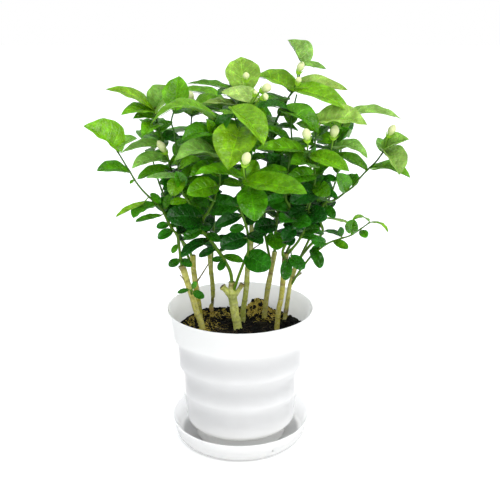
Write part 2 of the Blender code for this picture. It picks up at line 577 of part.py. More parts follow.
def make_pot(home, cutters):
    pot = turned("pot", pot_profile(), home, new_material("white_plastic_pot", (0.86, 0.86, 0.87), 0.22))
    reach = Vector((0, 0, DRAIN_REACH))
    for number in range(DRAIN_HOLES):
        angle = math.radians(360 / DRAIN_HOLES * number + DRAIN_TURN)
        work = bmesh.new()
        centre = Vector((DRAIN_CIRCLE * math.cos(angle), DRAIN_CIRCLE * math.sin(angle), FLOOR_HEIGHT))
        taper(work, centre - reach, centre + reach, DRAIN_RADIUS, DRAIN_RADIUS, 8)
        cut(pot, new_object(f"drain_cutter_{number}", mesh_from(work, "drain_cutter"), cutters))
    for number, degrees in enumerate(NOTCH_TURNS):
        work = bmesh.new()
        bmesh.ops.create_cube(work, size=1)
        size = Matrix.Diagonal((4 * FOOT_RADIUS * MM, NOTCH_WIDTH * MM, 2 * NOTCH_HEIGHT * MM, 1))
        turn = Matrix.Rotation(math.radians(degrees), 4, "Z")
        lift = Matrix.Translation((0, 0, (SAUCER_FLOOR + GAP) * MM))
        bmesh.ops.transform(work, matrix=lift @ turn @ size, verts=work.verts)
        cut(pot, new_object(f"notch_cutter_{number}", mesh_from(work, "notch_cutter"), cutters))


def make_saucer(home):
    points = list(SAUCER_INSIDE + SAUCER_RIM)
    for degrees in SAUCER_ANGLES:
        angle = math.radians(degrees)
        points.append((SAUCER_FLAT + SAUCER_ROUND * math.cos(angle),
                       SAUCER_ROUND - SAUCER_ROUND * math.sin(angle)))
    points.append((0, 0))
    turned("saucer", points, home, new_material("white_plastic_saucer", (0.87, 0.87, 0.88), 0.22))


def soil_relief(x, y):
    """Height of the soil's surface above its level: heaps of coir and crumbs."""
    heaps = sum(height * math.exp(-((x - across) ** 2 + (y - back) ** 2) / spread)
                for across, back, height, spread in HEAPS)
    crumbs = sum(height * math.sin(x * along_x + y * along_y + start)
                 for height, along_x, along_y, start in CRUMBS)
    return heaps + crumbs


def make_soil(home, cutters, cane_paths):
    corner = FLOOR_HEIGHT + CORNER_HEIGHT
    foot = inside_radius(corner) - SOIL_GAP
    points = [(radius, SOIL_HEIGHT) for radius in SOIL_RINGS]
    points += [(inside_radius(SOIL_HEIGHT) - SOIL_GAP, SOIL_HEIGHT), (foot, corner + GAP),
               (foot - CORNER_WIDTH, FLOOR_HEIGHT + GAP), (0, FLOOR_HEIGHT + GAP)]
    rough = turned("soil_body", points, home, None)
    mesh = evaluated_mesh(rough)
    bpy.data.objects.remove(rough)
    for vertex in mesh.vertices:
        if vertex.co.z > (SOIL_HEIGHT - 1) * MM:
            vertex.co.z += soil_relief(vertex.co.x / MM, vertex.co.y / MM) * MM
    soil = new_object("soil", mesh, home, new_material("potting_soil", SOIL_COLOUR, 0.95))
    for name, (path, radii) in cane_paths.items():
        down = (path[0] - path[1]).normalized()
        hole = [path[0] + down * GAP, path[1], path[2]]
        wide = [radius + GAP for radius in radii[:3]]
        cut(soil, tube(name + "_hole_cutter", hole, wide, cutters, 1))


def cane_lines():
    """The stems of each cane in millimetres. The first of them reaches down into the soil."""
    lines = {}
    for name, stems in CANES.items():
        lines[name] = []
        for number, stem in enumerate(stems):
            path = [spot(across, up, back) for across, up, back, radius in stem]
            radii = [radius for across, up, back, radius in stem]
            if number == 0:
                top = path[0]
                path.insert(0, Vector((top.x * ROOT_LEAN, top.y * ROOT_LEAN, SOIL_HEIGHT - ROOT_DEPTH)))
                radii.insert(0, radii[0])
            lines[name].append((path, radii))
    return lines


def blade_normal(foot, tip, turn):
    """The upward normal of a blade whose face is rolled by turn degrees away from the eye."""
    along = (tip - foot).normalized()
    sight = EYE - (foot + tip) / 2
    facing = (sight - along * sight.dot(along)).normalized()
    side = along.cross(facing)
    if side.z < 0:
        side.negate()
    angle = math.radians(turn)
    return facing * math.cos(angle) + side * math.sin(angle)


def blade_outline(part):
    """Half the width of a leaf at this part of its length, as a share of the greatest."""
    fullest = FOOT_POWER / (FOOT_POWER + TIP_POWER)
    greatest = fullest ** FOOT_POWER * (1 - fullest) ** TIP_POWER
    return part ** FOOT_POWER * (1 - part) ** TIP_POWER / greatest


def blade(root, foot, tip, width, normal, arch, thickness):
    """A bmesh of one leaf in metres: its stalk from the root, and its folded and arched blade."""
    along = tip - foot
    length = along.length
    across = along.normalized().cross(normal)
    work = bmesh.new()
    rows = []
    if root is not None:
        bend = (foot - root).normalized() + along.normalized()
        stalk = bend.normalized().cross(normal).normalized() * (STALK_WIDTH / 2)
        rows.append([work.verts.new(root * MM)])
        rows.append([work.verts.new(place * MM) for place in (foot - stalk, foot, foot + stalk)])
    else:
        rows.append([work.verts.new(foot * MM)])
    for part in next(parts for least, parts in STATIONS if length > least):
        middle = foot + along * part + normal * (arch * 4 * part * (1 - part))
        slope = arch * 4 * (1 - 2 * part) / length
        rise = (normal - along.normalized() * slope).normalized()
        half = width / 2 * blade_outline(part)
        lift = rise * (half * math.sin(FOLD))
        reach = across * (half * math.cos(FOLD))
        places = (middle - reach + lift, middle, middle + reach + lift)
        rows.append([work.verts.new(place * MM) for place in places])
    rows.append([work.verts.new(tip * MM)])
    left, middle, right = rows[1]
    work.faces.new((rows[0][0], middle, left))
    work.faces.new((rows[0][0], right, middle))
    for near, far in zip(rows[1:-2], rows[2:-1]):
        work.faces.new((near[0], near[1], far[1]))
        work.faces.new((near[0], far[1], far[0]))
        work.faces.new((near[1], near[2], far[1]))
        work.faces.new((near[2], far[2], far[1]))
    left, middle, right = rows[-2]
    work.faces.new((left, middle, rows[-1][0]))
    work.faces.new((middle, right, rows[-1][0]))
    bmesh.ops.recalc_face_normals(work, faces=work.faces)
    bmesh.ops.solidify(work, geom=work.faces[:], thickness=thickness * MM)
    bmesh.ops.recalc_face_normals(work, faces=work.faces)
    return work


class Placed:
    """A closed piece that is already in its place, for the room that others leave to it."""

    def __init__(self, node, kind, work):
        self.node = node
        self.kind = kind
        self.tree = BVHTree.FromBMesh(work)
        self.low = Vector([min(vertex.co[i] for vertex in work.verts) for i in range(3)])
        self.high = Vector([max(vertex.co[i] for vertex in work.verts) for i in range(3)])

    def meets(self, other):
        if any(self.low[i] > other.high[i] or self.high[i] < other.low[i] for i in range(3)):
            return False
        return bool(self.tree.overlap(other.tree))


def placed_mesh(node, kind, mesh):
    work = bmesh.new()
    work.from_mesh(mesh)
    made = Placed(node, kind, work)
    work.free()
    return made


def nearest(point, lines):
    """The point on any of these stems that is nearest to a point."""
    best = None
    for path, radii in lines:
        for start, end in zip(path, path[1:]):
            along = end - start
            part = max(0.0, min(1.0, (point - start).dot(along) / along.length_squared))
            here = start + along * part
            if best is None or (here - point).length < (best - point).length:
                best = here
    return best


def blocked(room, node, settled, same_node):
    for other in settled:
        if other.node == node and not (same_node and other.kind == "blade"):
            continue
        if room.meets(other):
            return True
    return False


def try_leaf(node, foot, tip, width, normal, arch, lines, settled, same_node=True):
    """What blade() needs for a leaf, or None where the leaf would meet another piece."""
    root = nearest(foot, lines)
    away = (foot - root).length
    if away < PETIOLE:
        foot = foot + (tip - foot).normalized() * (PETIOLE - away)
    root = root - (foot - root).normalized() * SUNK
    shape = (foot, tip, width + 2 * SPARE, normal, arch, BLADE + 2 * SPARE)
    for base, near in ((None, same_node), (root, False)):
        work = blade(base, *shape)
        bmesh.ops.translate(work, verts=work.verts, vec=normal * (SPARE * MM))
        room = Placed(node, "blade", work)
        work.free()
        if blocked(room, node, settled, near):
            return None
    return root, foot, tip, width, normal, arch


def settle(node, row, lines, settled):
    """A leaf of the tables, moved a little in depth and roll where it would meet another piece."""
    foot_spot, tip_spot, width, turn, arch = row
    foot = spot(*foot_spot)
    for same_node in (True, False):
        for size in SIZES:
            for shift in DEPTH_SHIFTS:
                for roll in ROLL_SHIFTS:
                    tip = spot(tip_spot[0], tip_spot[1], tip_spot[2] + shift)
                    tip = foot + (tip - foot) * size
                    normal = blade_normal(foot, tip, turn + roll)
                    leaf = try_leaf(node, foot, tip, width * size, normal, arch, lines, settled, same_node)
                    if leaf:
                        return leaf
    return None


def crown_limits(up):
    for low, high in zip(CROWN, CROWN[1:]):
        if low[0] <= up <= high[0]:
            part = (up - low[0]) / (high[0] - low[0])
            return tuple(low[i] + (high[i] - low[i]) * part for i in (1, 2))
    return 0, 0


def in_crown(point):
    across, up = seen(point)
    left, right = crown_limits(up)
    return left < across < right and point.y < CROWN_BACK


def stem_stops(lines):
    """Points every so far along the stems, above the bare lower part."""
    for path, radii in lines:
        walked, due = 0.0, FILL_SPACING / 2
        for start, end in zip(path, path[1:]):
            length = (end - start).length
            while due <= walked + length:
                point = start + (end - start) * ((due - walked) / length)
                due += FILL_SPACING
                if point.z > FILL_FROM:
                    yield point
            walked += length


def shuts_window(foot, tip, normal, width):
    """Whether a leaf would stand in one of the crown's openings, as seen from the front."""
    along = tip - foot
    side = along.normalized().cross(normal) * (width * WINDOW_REACH)
    for part, reach in WINDOW_PLACES:
        across, up = seen(foot + along * part + side * reach)
        for centre, height, half_width, half_height in WINDOWS:
            if ((across - centre) / half_width) ** 2 + ((up - height) / half_height) ** 2 < 1:
                return True
    return False


def fill_leaves(node, lines, settled, draw):
    """Pairs of leaves on the far side of the crown, each pair turned a quarter from the last."""
    grown = []
    front = FILL_FRONT["rear" in node]
    turn = draw.uniform(0, 180)
    for stop in stem_stops(lines):
        turn += 90 + draw.uniform(-FILL_TWIST, FILL_TWIST)
        share = min(1.0, max(0.0, (stop.z - FILL_FROM) / FILL_CLIMB))
        usual = FILL_LENGTHS[0] + (FILL_LENGTHS[1] - FILL_LENGTHS[0]) * share
        for side in (0, 180):
            heading = math.radians(turn + side)
            length = usual * draw.uniform(*FILL_CHANCE)
            rise = draw.uniform(*FILL_RISE)
            lean = draw.uniform(-FILL_LEAN, FILL_LEAN)
            for shift in FILL_BEARINGS:
                bearing = heading + math.radians(shift)
                along = Vector((math.cos(bearing), math.sin(bearing), rise)).normalized()
                foot = stop + along * PETIOLE
                tip = foot + along * length
                if tip.y < front or not in_crown(tip) or not in_crown(foot):
                    continue
                level = along.cross(Vector((0, 0, 1))).normalized()
                normal = (level.cross(along) + level * lean).normalized()
                normal = (normal - along * normal.dot(along)).normalized()
                wide, arch = length * FILL_WIDTH, length * FILL_ARCH
                if shuts_window(foot, tip, normal, wide):
                    continue
                leaf = try_leaf(node, foot, tip, wide, normal, arch, lines, settled)
                if leaf:
                    grown.append(leaf)
                    settled.append(placed_mesh(node, "blade", leaf_mesh(node, leaf)))
                    break
    return grown


def leaf_mesh(name, leaf):
    return mesh_from(blade(*leaf, BLADE), name)


def bud_parts(row):
    """The stalk, calyx and bud of a row of BUDS, as points in millimetres."""
    shoot, start, seat, tip, diameter = row
    foot, seat, tip = spot(*start), spot(*seat), spot(*tip)
    along = (tip - seat).normalized()
    return foot, seat, seat + along * CALYX_LENGTH, tip, along, diameter / 2


def make_buds(home, finish):
    for number, row in enumerate(BUDS, 1):
        foot, seat, lip, tip, along, radius = bud_parts(row)
        start = lip + along * GAP
        length = (tip - start).length
        profile = [(radius * wide, length * high) for wide, high in BUD_SHAPE]
        bud = turned(f"bud_{number:02d}", profile, home, finish, BUD_STEPS)
        bud.location = start * MM
        bud.rotation_euler = along.to_track_quat("Z", "Y").to_euler()


def make_canes(canes, home, cutters, finish, settled):
    """The canes, and the cutters that give the shoots room round them."""
    for name, stems in canes.items():
        pieces = [tube(f"{name}_stem_{number}", path, radii, home, 1)
                  for number, (path, radii) in enumerate(stems)]
        for piece in pieces:
            settled.append(placed_mesh(name, "stem", piece.data))
        fuse(name, pieces, home, finish)
        for number, (path, radii) in enumerate(stems):
            top = path[-1] + (path[-1] - path[-2]).normalized() * GAP
            wide = [radius + GAP for radius in radii]
            tube(f"{name}_cutter_{number}", path[:-1] + [top], wide, cutters, 1)


def make_stems(home, settled):
    """The lines and the pieces of the stems of each shoot."""
    lines, pieces = {}, {}
    for name, (cane, stems, leaves) in SHOOTS.items():
        lines[name], pieces[name] = [], []
        for number, (foot_radius, tip_radius, points) in enumerate(stems):
            path = [spot(*point) for point in points]
            last = len(path) - 1
            radii = [foot_radius + (tip_radius - foot_radius) * i / last for i in range(last + 1)]
            lines[name].append((path, radii))
            stem = tube(f"{name}_stem_{number}", path, radii, home, 0)
            pieces[name].append(stem)
            settled.append(placed_mesh(name, "stem", stem.data))
    return lines, pieces


def make_stalks(lines, pieces, home, settled):
    """The stalk and the calyx under each bud, which belong to its shoot."""
    for number, row in enumerate(BUDS, 1):
        shoot = row[0]
        foot, seat, lip, tip, along, radius = bud_parts(row)
        stalk, cup, room = bmesh.new(), bmesh.new(), bmesh.new()
        taper(stalk, nearest(foot, lines[shoot]), seat + along * SUNK, BUD_STALK, BUD_STALK)
        taper(cup, seat, lip, CALYX_FOOT, CALYX_SPREAD * radius + CALYX_LIP, 6)
        for mesh in (mesh_from(stalk, f"stalk_{number}"), mesh_from(cup, f"calyx_{number}")):
            pieces[shoot].append(new_object(mesh.name, mesh, home))
            settled.append(placed_mesh(shoot, "stalk", mesh))
        taper(room, lip, tip, radius, radius, 6)
        settled.append(Placed(f"bud_{number:02d}", "bud", room))
        room.free()


def grow_leaves(lines, settled):
    """The leaves of each shoot: those of its table, then those of the far side."""
    grown = {name: [] for name in SHOOTS}
    for name, (cane, stems, leaves) in SHOOTS.items():
        for row in leaves:
            leaf = settle(name, row, lines[name], settled)
            settled.append(placed_mesh(name, "blade", leaf_mesh(name, leaf)))
            grown[name].append(leaf)
    draw = random.Random(5)
    for name in SHOOTS:
        grown[name] += fill_leaves(name, lines[name], settled, draw)
    return grown


def main():
    for old in list(bpy.data.objects):
        bpy.data.objects.remove(old)
    home = new_collection("potted_arabian_jasmine")
    cutters = new_collection("cutters", hidden=True)
    bark = new_material("woody_cane", (0.42, 0.35, 0.16), 0.7)
    leaf_green = new_material("leaf_green", (0.16, 0.42, 0.03), 0.35)
    bud_cream = new_material("bud_cream", (0.86, 0.88, 0.6), 0.5)

    make_pot(home, cutters)
    make_saucer(home)
    canes = cane_lines()
    make_soil(home, cutters, {name: stems[0] for name, stems in canes.items()})

    settled = []
    make_canes(canes, home, cutters, bark, settled)
    lines, pieces = make_stems(home, settled)
    make_stalks(lines, pieces, home, settled)
    make_buds(home, bud_cream)
    leaves_of = grow_leaves(lines, settled)
    for name, (cane, stems, leaves) in SHOOTS.items():
        for number, leaf in enumerate(leaves_of[name]):
            label = f"{name}_leaf_{number}"
            pieces[name].append(new_object(label, leaf_mesh(label, leaf), home))
        shoot = fuse(name, pieces[name], home, leaf_green)
        for number in range(len(CANES[cane])):
            cut(shoot, bpy.data.objects[f"{cane}_cutter_{number}"], "MANIFOLD")
        drop_scraps(shoot)
    for piece in home.objects:
        piece.data.set_sharp_from_angle(angle=math.radians(40))


main()
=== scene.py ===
"""Potted arabian jasmine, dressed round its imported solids.

Tables and sizes of the pieces are in millimetres, and meshes are made in metres. The front faces -Y.
"""

import itertools
import math
import random

import bmesh
import bpy
import numpy as np
from mathutils import Matrix, Vector, noise
from mathutils.bvhtree import BVHTree


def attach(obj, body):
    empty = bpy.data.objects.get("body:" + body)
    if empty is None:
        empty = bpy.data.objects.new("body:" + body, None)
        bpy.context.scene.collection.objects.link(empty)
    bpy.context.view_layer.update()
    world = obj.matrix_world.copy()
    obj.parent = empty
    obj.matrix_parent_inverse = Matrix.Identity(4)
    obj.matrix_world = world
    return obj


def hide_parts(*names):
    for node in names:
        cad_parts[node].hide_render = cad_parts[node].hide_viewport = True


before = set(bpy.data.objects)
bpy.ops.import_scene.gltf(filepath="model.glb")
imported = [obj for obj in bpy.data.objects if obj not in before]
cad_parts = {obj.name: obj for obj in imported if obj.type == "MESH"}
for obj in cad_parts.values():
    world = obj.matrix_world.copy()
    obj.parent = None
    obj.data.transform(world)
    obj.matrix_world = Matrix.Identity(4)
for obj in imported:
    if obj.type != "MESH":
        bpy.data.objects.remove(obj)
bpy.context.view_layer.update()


# The studio: a white tent, brightest behind and above the plant, with a soft lamp high in front, a
# low one beside it and a pale floor. The camera is level with the plant's top and looks down a little.
MM = 0.001
EYE = Vector((10.6, -742.3, 433.9))
LOOK_DOWN = math.radians(16.47)
LENS = 52.3
SENSOR = 36.0
FLOOR_SIZE = 60.0
SWEEP_WAY = (0.0, 0.72, 0.69)  # where the tent is brightest
SWEEP_EDGES = (-0.6, 0.9)  # cosines of the angles from there at which its light starts and is full
ROOM_LIGHT = (0.98, 1.38)  # the tent's light away from the sweep and in it
GLOSS_EDGES = (0.3, 0.95)
IN_GLOSS = (0.05, 0.5)  # what glossy skins mirror of the tent: little but the sweep
CARD_SIDE = 0.115  # metres from the middle
CARD_DEPTH = (0.02, 0.5)
CARD_HEIGHT = (0.001, 0.22)


def linear(code):
    """The linear colour of an sRGB hex value."""
    parts = [int(code[i:i + 2], 16) / 255 for i in (1, 3, 5)]
    return tuple(v / 12.92 if v <= 0.04045 else ((v + 0.055) / 1.055) ** 2.4 for v in parts) + (1.0,)


def add(tree, kind, inputs=None, **settings):
    """Adds a shader node: its own settings by name, and its inputs as values or as sockets to link."""
    made = tree.nodes.new("ShaderNode" + kind)
    for name, value in settings.items():
        setattr(made, name, value)
    for name, value in (inputs or {}).items():
        if isinstance(value, bpy.types.NodeSocket):
            tree.links.new(value, made.inputs[name])
        else:
            made.inputs[name].default_value = value
    return made


def finish(name, base, roughness, **sockets):
    """A material of this name with one shader, and its tree."""
    made = bpy.data.materials.new(name)
    made.use_nodes = True
    shader = made.node_tree.nodes["Principled BSDF"]
    shader.inputs["Base Color"].default_value = linear(base)
    shader.inputs["Roughness"].default_value = roughness
    for socket, value in sockets.items():
        shader.inputs[socket.replace("_", " ")].default_value = value
    return made, made.node_tree, shader


def new_object(name, data):
    """An object of this name in the scene."""
    made = bpy.data.objects.new(name, data)
    bpy.context.collection.objects.link(made)
    return made


camera = new_object("camera", bpy.data.cameras.new("camera"))
camera.location = EYE * MM
camera.rotation_euler = (math.pi / 2 - LOOK_DOWN, 0, 0)
camera.data.lens = LENS
camera.data.sensor_width = SENSOR
bpy.context.scene.camera = camera
bpy.context.scene.view_settings.view_transform = "Standard"

sky = bpy.data.worlds.new("studio")
sky.use_nodes = True
bpy.context.scene.world = sky
sky_tree = sky.node_tree
ray = add(sky_tree, "LightPath").outputs
seen_directly = ray["Is Camera Ray"]
heading = add(sky_tree, "TexCoord").outputs["Generated"]
behind = add(sky_tree, "VectorMath", {0: heading, 1: SWEEP_WAY}, operation="DOT_PRODUCT").outputs["Value"]
bright, mirrored = (
    add(sky_tree, "MapRange", {"Value": behind, "From Min": edges[0], "From Max": edges[1],
                               "To Min": light[0], "To Max": light[1]},
        interpolation_type="SMOOTHSTEP").outputs[0]
    for edges, light in ((SWEEP_EDGES, ROOM_LIGHT), (GLOSS_EDGES, IN_GLOSS)))
level = add(sky_tree, "Mix", {"Factor": ray["Is Glossy Ray"], "A": bright, "B": mirrored}).outputs["Result"]
tent_light = add(sky_tree, "VectorMath", {0: linear("#F8FAFF")[:3], "Scale": level},
                 operation="SCALE").outputs[0]
room = add(sky_tree, "Mix", {"Factor": seen_directly, "A": tent_light, "B": linear("#FFFFFF")},
           data_type="RGBA")
sky_tree.links.new(room.outputs["Result"], sky_tree.nodes["Background"].inputs["Color"])


def lamp(name, kind, place, aim, strength, **settings):
    """A light that faces its aim."""
    made = new_object(name, bpy.data.lights.new(name, kind))
    made.data.energy = strength
    for setting, value in settings.items():
        setattr(made.data, setting, value)
    made.location = place
    made.rotation_euler = (Vector(aim) - Vector(place)).to_track_quat("-Z", "Y").to_euler()


lamp("key", "SUN", (0.7, -1.25, 1.9), (0, 0, 0.2), 0.62, angle=math.radians(26))
lamp("front_fill", "AREA", (0.85, -1.9, 0.1), (0, 0, 0.05), 22, size=0.9)

# Two bright cards beside the pot, that only its gloss sees
near, far = CARD_DEPTH
low, high = CARD_HEIGHT
for side in (-1, 1):
    corners = [(side * CARD_SIDE, y, z) for y, z in ((near, low), (far, low), (far, high), (near, high))]
    card_mesh = bpy.data.meshes.new("card")
    card_mesh.from_pydata(corners, [], [(0, 1, 2, 3)])
    card = new_object("card_left" if side < 0 else "card_right", card_mesh)
    glow, _, glow_shader = finish("card_glow", "#000000", 1.0, Emission_Strength=2.2)
    glow_shader.inputs["Emission Color"].default_value = linear("#FFFEFA")
    card_mesh.materials.append(glow)
    card.visible_camera = card.visible_diffuse = card.visible_shadow = card.visible_transmission = False

bpy.ops.mesh.primitive_plane_add(size=FLOOR_SIZE)
floor = bpy.context.object
floor.name = "floor"
paper, paper_tree, paper_shader = finish("matt_white_paper", "#FBFBFB", 0.9, Emission_Strength=0.16)
paper_seen = add(paper_tree, "LightPath").outputs["Is Camera Ray"]
paper_colour = add(paper_tree, "Mix", {"Factor": paper_seen, "A": linear("#E4E4E2"), "B": linear("#FBFBFB")},
                   data_type="RGBA")
paper_tree.links.new(paper_colour.outputs["Result"], paper_shader.inputs["Base Color"])
paper_tree.links.new(paper_seen, paper_shader.inputs["Emission Color"])
floor.data.materials.append(paper)


# The saucer: white polypropylene, injection moulded, glossy outside and in, with a small gate mark
# on its wall. It is one turned wall of even thickness on a flat underside.
SAUCER_FLOOR = 3.0
SAUCER_RADIUS = 78.0
SAUCER_HEIGHT = 24.8
SAUCER_ROUND = 13.0
TURN_STEPS = 192


def rounded(points):
    """The profile with each corner (radius, height, rounding) drawn as a short arc."""
    smooth = []
    for index, (radius, height, rounding) in enumerate(points):
        here = Vector((radius, height))
        if rounding == 0 or index in (0, len(points) - 1):
            smooth.append(here)
            continue
        before = Vector(points[index - 1][:2]) - here
        after = Vector(points[index + 1][:2]) - here
        reach = min(rounding, before.length * 0.49, after.length * 0.49)
        start, end = here + before.normalized() * reach, here + after.normalized() * reach
        for part in (0, 0.2, 0.4, 0.6, 0.8, 1):
            smooth.append(start * (1 - part) ** 2 + here * 2 * part * (1 - part) + end * part ** 2)
    return smooth


def mesh_of(guide):
    """The mesh that a guide's curve or modifiers make. The guide itself goes."""
    bpy.context.view_layer.update()
    graph = bpy.context.evaluated_depsgraph_get()
    mesh = bpy.data.meshes.new_from_object(guide.evaluated_get(graph))
    bpy.data.objects.remove(guide)
    return mesh


def turned(name, profile, material):
    """A solid of revolution from a profile that runs down its outer side."""
    mesh = bpy.data.meshes.new(name)
    edges = [(index, index + 1) for index in range(len(profile) - 1)]
    mesh.from_pydata([(x * MM, 0, z * MM) for x, z in profile], edges, [])
    guide = new_object(name + "_guide", mesh)
    screw = guide.modifiers.new("Screw", "SCREW")
    screw.steps = screw.render_steps = TURN_STEPS
    screw.use_merge_vertices = True
    screw.merge_threshold = 0.00001
    solid = mesh_of(guide)
    bpy.data.meshes.remove(mesh)
    made = new_object(name, solid)
    solid.shade_smooth()
    solid.set_sharp_from_angle(angle=math.radians(50))
    solid.materials.append(material)
    return made


def white_plastic(name, base, glow):
    """Moulded polypropylene: a clean gloss over a faintly uneven skin, and a soft inner glow.

    The skin's unevenness, where the wall shrank as it cooled, repeats about every 26 mm. The glow is how
    far light travels in the wall, in metres: more in the saucer, whose wall is lit from both sides.
    """
    material, tree, shader = finish(name, base, 0.2, IOR=1.49, Subsurface_Weight=1.0,
                                    Subsurface_Radius=(1, 1, 1), Subsurface_Scale=glow)
    place = add(tree, "TexCoord").outputs["Object"]
    skin = add(tree, "TexNoise", {"Vector": place, "Scale": 38.0, "Detail": 3.0, "Roughness": 0.5})
    gloss = add(tree, "MapRange", {"Value": skin.outputs["Fac"], "To Min": 0.1, "To Max": 0.19})
    tree.links.new(gloss.outputs[0], shader.inputs["Roughness"])
    dent = add(tree, "Bump", {"Height": skin.outputs["Fac"], "Strength": 0.08, "Distance": 0.0004})
    tree.links.new(dent.outputs[0], shader.inputs["Normal"])
    return material


polypropylene = white_plastic("white_polypropylene", "#F3F2EE", 0.01)
# The saucer's copy is a little darker than the pot's: painted shade, to tone down its brightly lit wall.
darker_saucer_plastic = white_plastic("white_polypropylene_saucer", "#F0F0ED", 0.03)
floor_edge = SAUCER_RADIUS - SAUCER_ROUND - 4
saucer_profile = rounded([
    (0, SAUCER_FLOOR, 0), (floor_edge + 4.5, SAUCER_FLOOR, 5), (floor_edge + 8, SAUCER_FLOOR + 2.5, 4),
    (floor_edge + 10.6, SAUCER_ROUND, 5), (SAUCER_RADIUS - 2.3, SAUCER_HEIGHT - 0.6, 1.0),
    (SAUCER_RADIUS - 1.2, SAUCER_HEIGHT, 1.0), (SAUCER_RADIUS, SAUCER_HEIGHT - 0.8, 1.0)])
for degrees in range(0, 91, 6):
    angle = math.radians(degrees)
    saucer_profile.append((floor_edge + SAUCER_ROUND * math.cos(angle),
                           SAUCER_ROUND - SAUCER_ROUND * math.sin(angle)))
saucer_profile.append((0, 0))
saucer = turned("saucer_wall", saucer_profile, darker_saucer_plastic)
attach(saucer, "root")
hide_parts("saucer")


# The pot: the same moulded polypropylene. Below a nearly straight band under the rim, shallow
# scallops run between rounded crests, and the base rounds in to a foot ring that stands in the saucer.
RIM_RADIUS = 80.0
RIM_HEIGHT = 151.8
WALL = 1.9
CREST_HEIGHTS = (124.5, 92.0, 59.5, 27.0)
CREST_RADII = (77.0, 71.4, 66.1, 60.8)
SCALLOP_DEPTH = 1.2
TIER_DEPTHS = (0.25, 1.25, 1.25, 1.2)
CREST_ROUND = 1.5
WALL_STEP = 0.65
BASE_ROUND = 9.4
BASE_HEIGHT = 17.0
FOOT_RADIUS = 50.8
FOOT_WALL = 2.4
FLOOR_HEIGHT = 21.0
FLOOR_THICKNESS = 2.2
GAP = 0.3  # between pieces that touch


def pot_profile():
    """The pot's wall from the middle of its floor, up inside, over the rim and down to the foot ring."""
    inside_top = CREST_RADII[0] - WALL - SCALLOP_DEPTH
    inside_foot = CREST_RADII[-1] - WALL - SCALLOP_DEPTH
    points = rounded([
        (0, FLOOR_HEIGHT, 0), (inside_foot - 4, FLOOR_HEIGHT, 3), (inside_foot, FLOOR_HEIGHT + 5, 4),
        (inside_top, CREST_HEIGHTS[0], 8), (RIM_RADIUS - WALL, RIM_HEIGHT - 0.7, 0.6),
        (RIM_RADIUS - WALL / 2, RIM_HEIGHT, 0.8), (RIM_RADIUS, RIM_HEIGHT - 0.7, 0.6),
        (RIM_RADIUS - 0.35, RIM_HEIGHT - 4, 1)])
    heights = [RIM_HEIGHT - 5, *CREST_HEIGHTS]
    radii = [RIM_RADIUS - 0.45, *CREST_RADII]
    down = np.arange(heights[0], CREST_HEIGHTS[-1] + BASE_ROUND * 0.1, -WALL_STEP)
    outer = np.interp(-down, [-height for height in heights], radii)
    for high, low, depth in zip(heights, heights[1:], TIER_DEPTHS):
        part = np.clip((high - down) / (high - low), 0, 1)
        outer = outer - depth * (1 - np.abs(2 * part - 1) ** 2.2)
    soft = np.exp(-(np.arange(-6, 7) * WALL_STEP / CREST_ROUND) ** 2)
    outer = np.convolve(np.pad(outer, 6, "edge"), soft / soft.sum(), "valid")
    points += [Vector(pair) for pair in zip(outer, down)]
    centre = (CREST_RADII[-1] - BASE_ROUND, BASE_HEIGHT + BASE_ROUND)
    for degrees in range(0, 91, 9):
        angle = math.radians(degrees)
        points.append(Vector((centre[0] + BASE_ROUND * math.cos(angle),
                              centre[1] - BASE_ROUND * math.sin(angle))))
    stand = SAUCER_FLOOR + GAP
    under = FLOOR_HEIGHT - FLOOR_THICKNESS
    points += rounded([(FOOT_RADIUS, BASE_HEIGHT, 0), (FOOT_RADIUS, stand, 0.5),
                       (FOOT_RADIUS - FOOT_WALL, stand, 0.5), (FOOT_RADIUS - FOOT_WALL, under, 1),
                       (0, under, 0)])
    return points


pot = turned("pot_wall", pot_profile(), polypropylene)
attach(pot, "root")
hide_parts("pot")


# The gate mark: the small pip that the mould leaves on the saucer's wall, of the same plastic.
PIP = (28.0, 12.0, 0.9)  # bearing from the front in degrees, height, radius

bearing = math.radians(PIP[0] - 90)
reach = SAUCER_RADIUS - 4 - 0.3
bpy.ops.mesh.primitive_uv_sphere_add(segments=24, ring_count=12, radius=PIP[2] * MM)
pip = bpy.context.object
pip.name = "saucer_gate_mark"
pip.location = Vector((reach * math.cos(bearing), reach * math.sin(bearing), PIP[1])) * MM
pip.data.shade_smooth()
pip.data.materials.append(darker_saucer_plastic)
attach(pip, "root")
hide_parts("saucer")


# The canes: old woody stems, cut back hard, that stand in the soil. Their bark is thin, tan to
# greenish and ringed at the nodes, and the cut tops show dark dry wood.
SOIL_HEIGHT = 121.0
ROOT_DEPTH = 38.0
ROOT_LEAN = 0.92  # how far out a root's end is, as a share of its top's distance
BARK_SIDES = 24
# The unevenness of the bark, its knobs and its node rings, each in height as a share of the radius
BARK_WAVES = 5
WAVE_HEIGHT = 0.018
KNOBS = 4
KNOB_HEIGHTS = (0.12, 0.3)
RING_HEIGHT = 0.07
